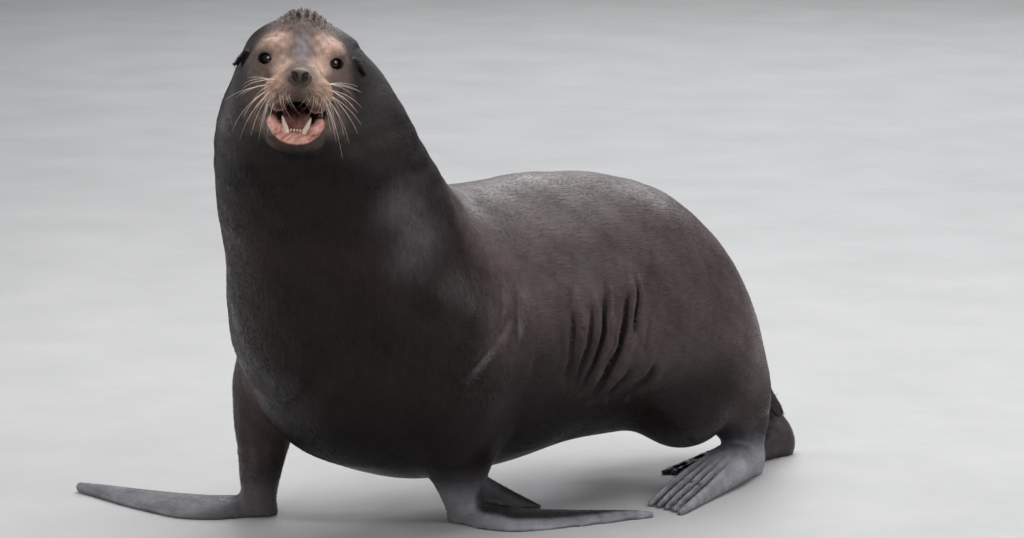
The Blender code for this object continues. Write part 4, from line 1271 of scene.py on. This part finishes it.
def tufts(name, made_from, choose, count, size, edge, kind, material, slot):
    """A piece of coat: pointed locks that lie along the skin."""
    rng = np.random.default_rng(len(name) + count)
    count = int(count * (1.0))
    root, up = scattered(rng, made_from, choose, count)
    points = lock_points(rng, root, up, size, edge).reshape(-1, 3)
    first = np.arange(count)[:, None] * len(LOCK_PATCH)
    made = mesh_object(name, points, np.concatenate([first + v for v in LOCK_FACES], 0))
    paint(made.data, root, lock_shades(rng, root, kind)[:, None] * LOCK_SHADES)
    map_locks(made.data, root, kind)
    made.location = STAND
    finished(made, material, slot)


def regions(p):
    """The places in the head's frame, and which are on the head, low on the limbs, and on the trunk."""
    q, head = on_head(p)
    return q, head > 0.5, p[:, 2] < 0.135, past_shoulder(p) > -0.12


def head_where(p, normal):
    q, head, _, _ = regions(p)
    nose = away(q, NOSE_MIDDLE, (0.026, 0.022, 0.022)) < 1.1
    eye = away(folded(q), EYE_PLACE) < 0.0285
    return head * ~((MOUTH_OUTSIDE(q) < 0.006) | nose | eye) * 1.0


def neck_where(p, normal):
    _, head, low, behind = regions(p)
    return ~(head | low | behind) * 1.0


def trunk_where(p, normal):
    _, head, low, behind = regions(p)
    return (behind & ~low & ~head & (np.abs(flank_relief(p)) < 0.0012)) * 1.0


def limb_where(p, normal):
    hair = 0.25 + 0.75 * step_up(p[:, 2], 0.05, 0.1)
    return regions(p)[2] * (p[:, 2] > 0.008) * hair * (normal[:, 2] > -0.3)


def crest_where(p, normal):
    return crest_at(in_head(p))


def head_size(p):
    q = in_head(p)
    back, pad = step_up(q[:, 1], 0.0, 0.1), on_pads(q)
    lift = 0.0006 + 0.0008 * back + 0.0006 * pad + 0.003 * crest_at(q)
    return 0.0042 + 0.005 * back + 0.0045 * pad, 0.001 + 0.0006 * back, lift


def body_size(p):
    n = 0.5 + 0.5 * wave(p, 61, 0.09)
    return 0.01 + 0.005 * n, 0.0013 + 0 * n, 0.0004 + 0.0005 * n


def limb_size(p):
    n = step_up(p[:, 2], 0.04, 0.12)
    return 0.0045 + 0.004 * n, 0.001 + 0.0003 * n, 0.0006 + 0.0008 * n


def crest_size(p):
    n = 0.5 + 0.5 * np.clip(1.4 * wave(p, 62, 0.012), -1, 1)
    n = n * crest_at(in_head(p))
    return 0.007 + 0.004 * n, 0.0018 + 0.002 * n, 0.0026 + 0.0098 * n


def coat(made, material):
    ground = skin_triangles(made)
    for name, where, count, size, edge, kind, slot in (
        ("coat_head", head_where, 44000, head_size, 0.12, "head", "head_skin"),
        ("coat_crest", crest_where, 2100, crest_size, 0.3, "head", "head_skin"),
        ("coat_neck", neck_where, 46000, body_size, 0.12, "neck", "dark_coat"),
        ("coat_trunk", trunk_where, 48000, body_size, 0.12, "trunk", "back_coat"),
        ("coat_limbs", limb_where, 26000, limb_size, 0.12, "limbs", "flipper_skin"),
    ):
        tufts(name, ground, where, count, size, edge, kind, material, slot)


# ---------------------------------------------------------------- eyes, mouth, whiskers, nails
def from_lowest(corners):
    """The same face with its lowest corner first, because bmesh starts anywhere and differs by the run."""
    start = corners.index(min(corners))
    return corners[start:] + corners[:start]


def eye(word, side, material):
    """An eyeball with a low cornea that bulges towards where it looks."""
    data = plain_mesh("eye_ball_" + word, bmesh.ops.create_uvsphere, u_segments=48, v_segments=32,
                      radius=EYE_RADIUS - 0.0004)
    ball = vertices_of(data)
    look = np.array((side * 0.72, -0.69, 0.02))
    look /= np.linalg.norm(look)
    off = np.arccos(np.clip(ball @ look / np.linalg.norm(ball, axis=1), -1, 1))
    ball *= (1 + 0.045 * bell(off, 0.42))[:, None]
    placed = HEAD @ place_at(np.array(EYE_PLACE) * (side, 1, 1))
    points = in_frame(ball, placed)
    faces = sorted(from_lowest(list(p.vertices)) for p in data.polygons)
    made = mesh_object("eyeball_" + word, points + STAND, faces)
    store(made.data, "iris", np.stack([step_up(off, 0.6, 0.5)] * 3, -1))  # 1 within the iris
    finished(made, material, "eye", "eye_" + word)


def tongue_mesh():
    """The tongue, with a groove down its middle and fine bumps, kept clear of the mouth round it."""
    outside = tube(TONGUE, 1)[2]

    def formula(points):
        q = in_head(points)
        x, y, z = q.T
        above = z - np.interp(y, [row[0] for row in TONGUE], [row[2] for row in TONGUE])
        found = outside(q) + 0.003 * bell(x, 0.0028) * step_up(above, -0.002, 0.006)
        found += 0.0003 * np.sin(x * 2600) * np.sin(y * 2100)
        return np.maximum(found, 0.0004 - skin_formula(points))

    ends = np.array([(x, y, z) for x in (0.045, -0.045) for y in (-0.085, 0.045) for z in (-0.16, -0.075)])
    ends = in_frame(ends, HEAD)
    axes = [np.arange(a, b, 0.0017) for a, b in zip(ends.min(0), ends.max(0))]
    grid = np.stack(np.meshgrid(*axes, indexing="ij"), -1)
    points, quads = surface_of(formula(grid.reshape(-1, 3)).reshape(grid.shape[:3]), axes)
    return mesh_object("tongue_flesh", settle(points, formula, 2, 0.0015) + STAND, quads)


def ring_tube(path, radii, sides=10, flat=1.0):
    """(points, faces) of a tube round a path, closed at both ends, and flattened along its first normal."""
    path = np.asarray(path, float)
    run = unit(np.gradient(path, axis=0))
    side = unit(np.cross(run, (0.13, 0.29, 0.95)))
    other = np.cross(run, side)
    angle = np.arange(sides) * 2 * math.pi / sides
    ring = side[:, None] * np.cos(angle)[None, :, None] * flat + other[:, None] * np.sin(angle)[None, :, None]
    points = (path[:, None] + ring * np.asarray(radii)[:, None, None]).reshape(-1, 3)
    faces = []
    for k in range(len(path) - 1):
        for j in range(sides):
            n = (j + 1) % sides
            faces.append((k * sides + j, k * sides + n, (k + 1) * sides + n, (k + 1) * sides + j))
    faces.append(tuple(range(sides))[::-1])
    faces.append(tuple(range((len(path) - 1) * sides, len(path) * sides)))
    return points, faces


def joined(name, parts):
    points, faces, count = [], [], 0
    for spots, rings in parts:
        points.append(spots)
        faces += [tuple(i + count for i in ring) for ring in rings]
        count += len(spots)
    return mesh_object(name, np.concatenate(points) + STAND, faces)


def teeth():
    """The two lower canines and the four small incisors between them."""
    x, y, z, height = CANINE
    parts = []
    for side in SIDES:
        t = np.linspace(-0.25, 1, 9)[:, None]
        path = np.array((side * x, y, z)) + t * (side * 0.01, -0.005, height)
        path = path + (t**2) * (side * 0.001, 0.006, 0)
        radii = 0.008 * (1 - 0.97 * np.clip(t[:, 0], 0, 1)) ** 0.7
        parts.append(ring_tube(in_frame(path, HEAD), radii, 14))
    for k in (-1.5, -0.5, 0.5, 1.5):
        t = np.linspace(-0.3, 1, 5)[:, None]
        path = np.array((k * 0.0062, y - 0.006 + 0.0014 * abs(k), z + 0.0055)) + t * (0, -0.001, 0.0036)
        parts.append(ring_tube(in_frame(path, HEAD), 0.0023 * np.array((1, 1.05, 1, 0.85, 0.4)), 8, 0.8))
    return joined("teeth", parts)


def whisker(root, aim, long, droop, thick):
    """One whisker that leaves the skin along aim and bends over under its own weight."""
    t = np.linspace(0, 1, 11)[:, None]
    path = root + long * (t * aim * (1 - 0.22 * t) - droop * (0.7 * t**2 + 0.18 * t**3) * (0, 0, 1))
    return ring_tube(path, thick * (1 - 0.82 * t[:, 0]), 5)


def on_skin(spot, way):
    """The place where the line from a spot in the head's frame meets the skin, a little way under it."""
    spot, way = in_frame(np.array([spot]), HEAD), HEAD[:3, :3] @ way
    for _ in range(34):
        spot = spot + np.clip(skin_formula(spot), 0.0001, 0.004)[:, None] * way
    return spot[0] + 0.003 * way


def pad_whisker(rng, side, row, k):
    """A long whisker of the pad, in one of five rows; k runs back from the nose."""
    back = k / 3
    root = on_skin((side * 0.085, -0.11 + 0.018 * k + 0.006 * (row % 2), -0.042 - 0.0105 * row),
                   (-side, 0, 0))
    fall = math.radians(-2 - 19 * row + 12 * back + rng.uniform(-8, 8))
    aim = HEAD[:3, :3] @ (side * math.cos(fall), -0.34 + 0.55 * back, math.sin(fall))
    long = (0.06 + 0.026 * back - 0.006 * max(row - 1, 0)) * rng.uniform(0.68, 1.42)
    droop = (0.22 + 0.09 * row) * rng.uniform(0.6, 1.3)
    return whisker(root, aim / np.linalg.norm(aim), long, droop, 0.00068 * rng.uniform(0.85, 1.15))


def lip_whisker(rng, side, k):
    """A finer one that hangs from the pad over the corner of the mouth, and curls in."""
    t = np.linspace(0, 1, 11)[:, None]
    across = 0.021 + 0.0042 * k + rng.uniform(-0.0015, 0.0015)
    root = on_skin((side * across, -0.17, rng.uniform(-0.06, -0.047)), (0, 1, 0))
    out, curl = 0.1 + 0.05 * k, rng.uniform(0.35, 0.6)
    run = np.concatenate([side * (out * t - curl * t**2), -0.26 * t * (1 - 0.6 * t), -0.95 * t], 1)
    path = in_head(root[None]) + rng.uniform(0.044, 0.066) * run
    return ring_tube(in_frame(path, HEAD), 0.00044 * (1 - 0.82 * t[:, 0]), 5)


def brow_whisker(side, k):
    """A short one above the eye."""
    root = on_skin((side * (0.05 + 0.01 * k), -0.008, 0.075), (0, 0, -1))
    return whisker(root, HEAD[:3, :3] @ (side * 0.75, -0.1, 0.65), 0.026, 0.5, 0.00038)


def whiskers():
    rng = np.random.default_rng(7)
    parts = []
    for side in SIDES:
        parts += [pad_whisker(rng, side, row, k) for row in range(5) for k in range(4)]
        parts += [lip_whisker(rng, side, k) for k in range(9)]
        parts += [brow_whisker(side, k) for k in range(2)]
    return joined("whiskers", parts)


def nails():
    """A small nail on the top of each toe, larger on the three in the middle."""
    parts = []
    for side in SIDES:
        placed = foot_frame(side)
        for k, (across, length) in enumerate(TOES):
            big = 1.0 if k in (1, 2, 3) else 0.6
            t = np.linspace(0, 1, 6)
            nothing = 0 * t
            spots = [nothing - side * across * 1.04, length * 0.66 + 0.017 * big * t, nothing + 0.06]
            spots = in_frame(np.stack(spots, -1), placed)
            for _ in range(26):
                spots[:, 2] -= np.clip(skin_formula(spots), 0.0001, 0.006)
            spots[:, 2] += 0.0002 + 0.0012 * t
            radii = 0.0032 * big * np.array((0.5, 0.95, 1.0, 0.9, 0.65, 0.25)) * placed[2, 2]
            parts.append(ring_tube(spots, radii, 8))
    return joined("nails", parts)


# ---------------------------------------------------------------- the set
FLOOR_HEIGHT = -0.0004  # just under the soles
CAMERA_PLACE, CAMERA_LOOKS_AT = (7.8711, -5.8414, 2.061), (-0.0171, 0.1028, 0.497)  # from STAND
CAMERA_LENS, CAMERA_SENSOR, CAMERA_REACH = 163.5, 36, 100


def point_from(made, place, target):
    """Puts a light or a camera at a place and points it at a target."""
    made.location = place
    made.rotation_euler = (Vector(target) - Vector(place)).to_track_quat("-Z", "Y").to_euler()


def soft_light(name, size, power, place, target=(0, 0, 0.45), colour=(1, 1, 1)):
    data = bpy.data.lights.new(name, "AREA")
    data.shape = "RECTANGLE"
    data.size, data.size_y = size
    data.energy, data.color = power, colour
    point_from(add_object(name, data), place, target)


def lay_floor():
    data = plain_mesh("floor", bmesh.ops.create_grid, x_segments=2, y_segments=2, size=14)
    floor = add_object("floor", data)
    floor.location = (0, 0, FLOOR_HEIGHT)
    data.materials.append(
        plain_material("pale floor", (0.37, 0.368, 0.365), (0.41, 0.408, 0.405), 3, 0.6, 0))


def light_room():
    world = bpy.data.worlds.new("studio")
    bpy.context.scene.world = world
    world.use_nodes = True
    sky = world.node_tree.nodes["Background"]
    sky.inputs[0].default_value = (0.8, 0.84, 0.9, 1)
    sky.inputs[1].default_value = 0.23
    soft_light("overhead", (6, 6), 420, (-0.4, 1.2, 5.6), (0, 0.1, 0.4))
    soft_light("behind", (7, 4), 420, (-5.5, 6.5, 5.0), (-4.5, 5.5, 0), (0.97, 0.98, 1.0))
    soft_light("window", (2.6, 2.6), 108, (4.8, 1.8, 3.0), (0.1, -0.1, 0.6), (0.95, 0.97, 1.0))
    soft_light("front", (2.2, 2.2), 90, (2.6, -5.4, 3.2), (0.2, -0.5, 0.8), (1.0, 0.97, 0.94))
    soft_light("edge", (1.0, 2.4), 78, (-3.4, -3.0, 2.0), (0, -0.3, 0.5))


def set_camera():
    camera = add_object("camera", bpy.data.cameras.new("camera"))
    point_from(camera, Vector(STAND) + Vector(CAMERA_PLACE), Vector(STAND) + Vector(CAMERA_LOOKS_AT))
    camera.data.lens, camera.data.sensor_width = CAMERA_LENS, CAMERA_SENSOR
    camera.data.clip_end = CAMERA_REACH
    bpy.context.scene.camera = camera
    bpy.context.scene.view_settings.view_transform = "Standard"


def build():
    material = skin_material()
    skin = skin_mesh()
    paint(skin.data, vertices_of(skin.data))
    coat(skin, material)
    skin.location = STAND
    flesh = [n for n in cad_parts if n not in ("tongue", "eye_left", "eye_right")]
    finished(skin, material, "dark_coat", *flesh)
    ball = eye_material()
    for word, side in (("left", LEFT), ("right", RIGHT)):
        eye(word, side, ball)
    flesh_pink = plain_material("tongue", (0.36, 0.15, 0.125), (0.52, 0.25, 0.215), 90, 0.34, 0.0006,
                                Coat_Weight=0.3, Subsurface_Weight=0.05)
    finished(tongue_mesh(), flesh_pink, "tongue", "tongue")
    enamel = plain_material("enamel", (0.66, 0.5, 0.4), (0.82, 0.7, 0.6), 70, 0.28, 0.0002,
                            Coat_Weight=0.3)
    finished(teeth(), enamel, "jaw_skin")
    bristle = plain_material("whisker", (0.62, 0.49, 0.39), (0.94, 0.83, 0.72), 60, 0.4, 0)
    finished(whiskers(), bristle, "head_skin")
    horn = plain_material("horn", (0.03, 0.022, 0.018), (0.075, 0.055, 0.042), 120, 0.35, 0.0003)
    finished(nails(), horn, "flipper_skin")
    lay_floor()
    light_room()
    set_camera()


build()
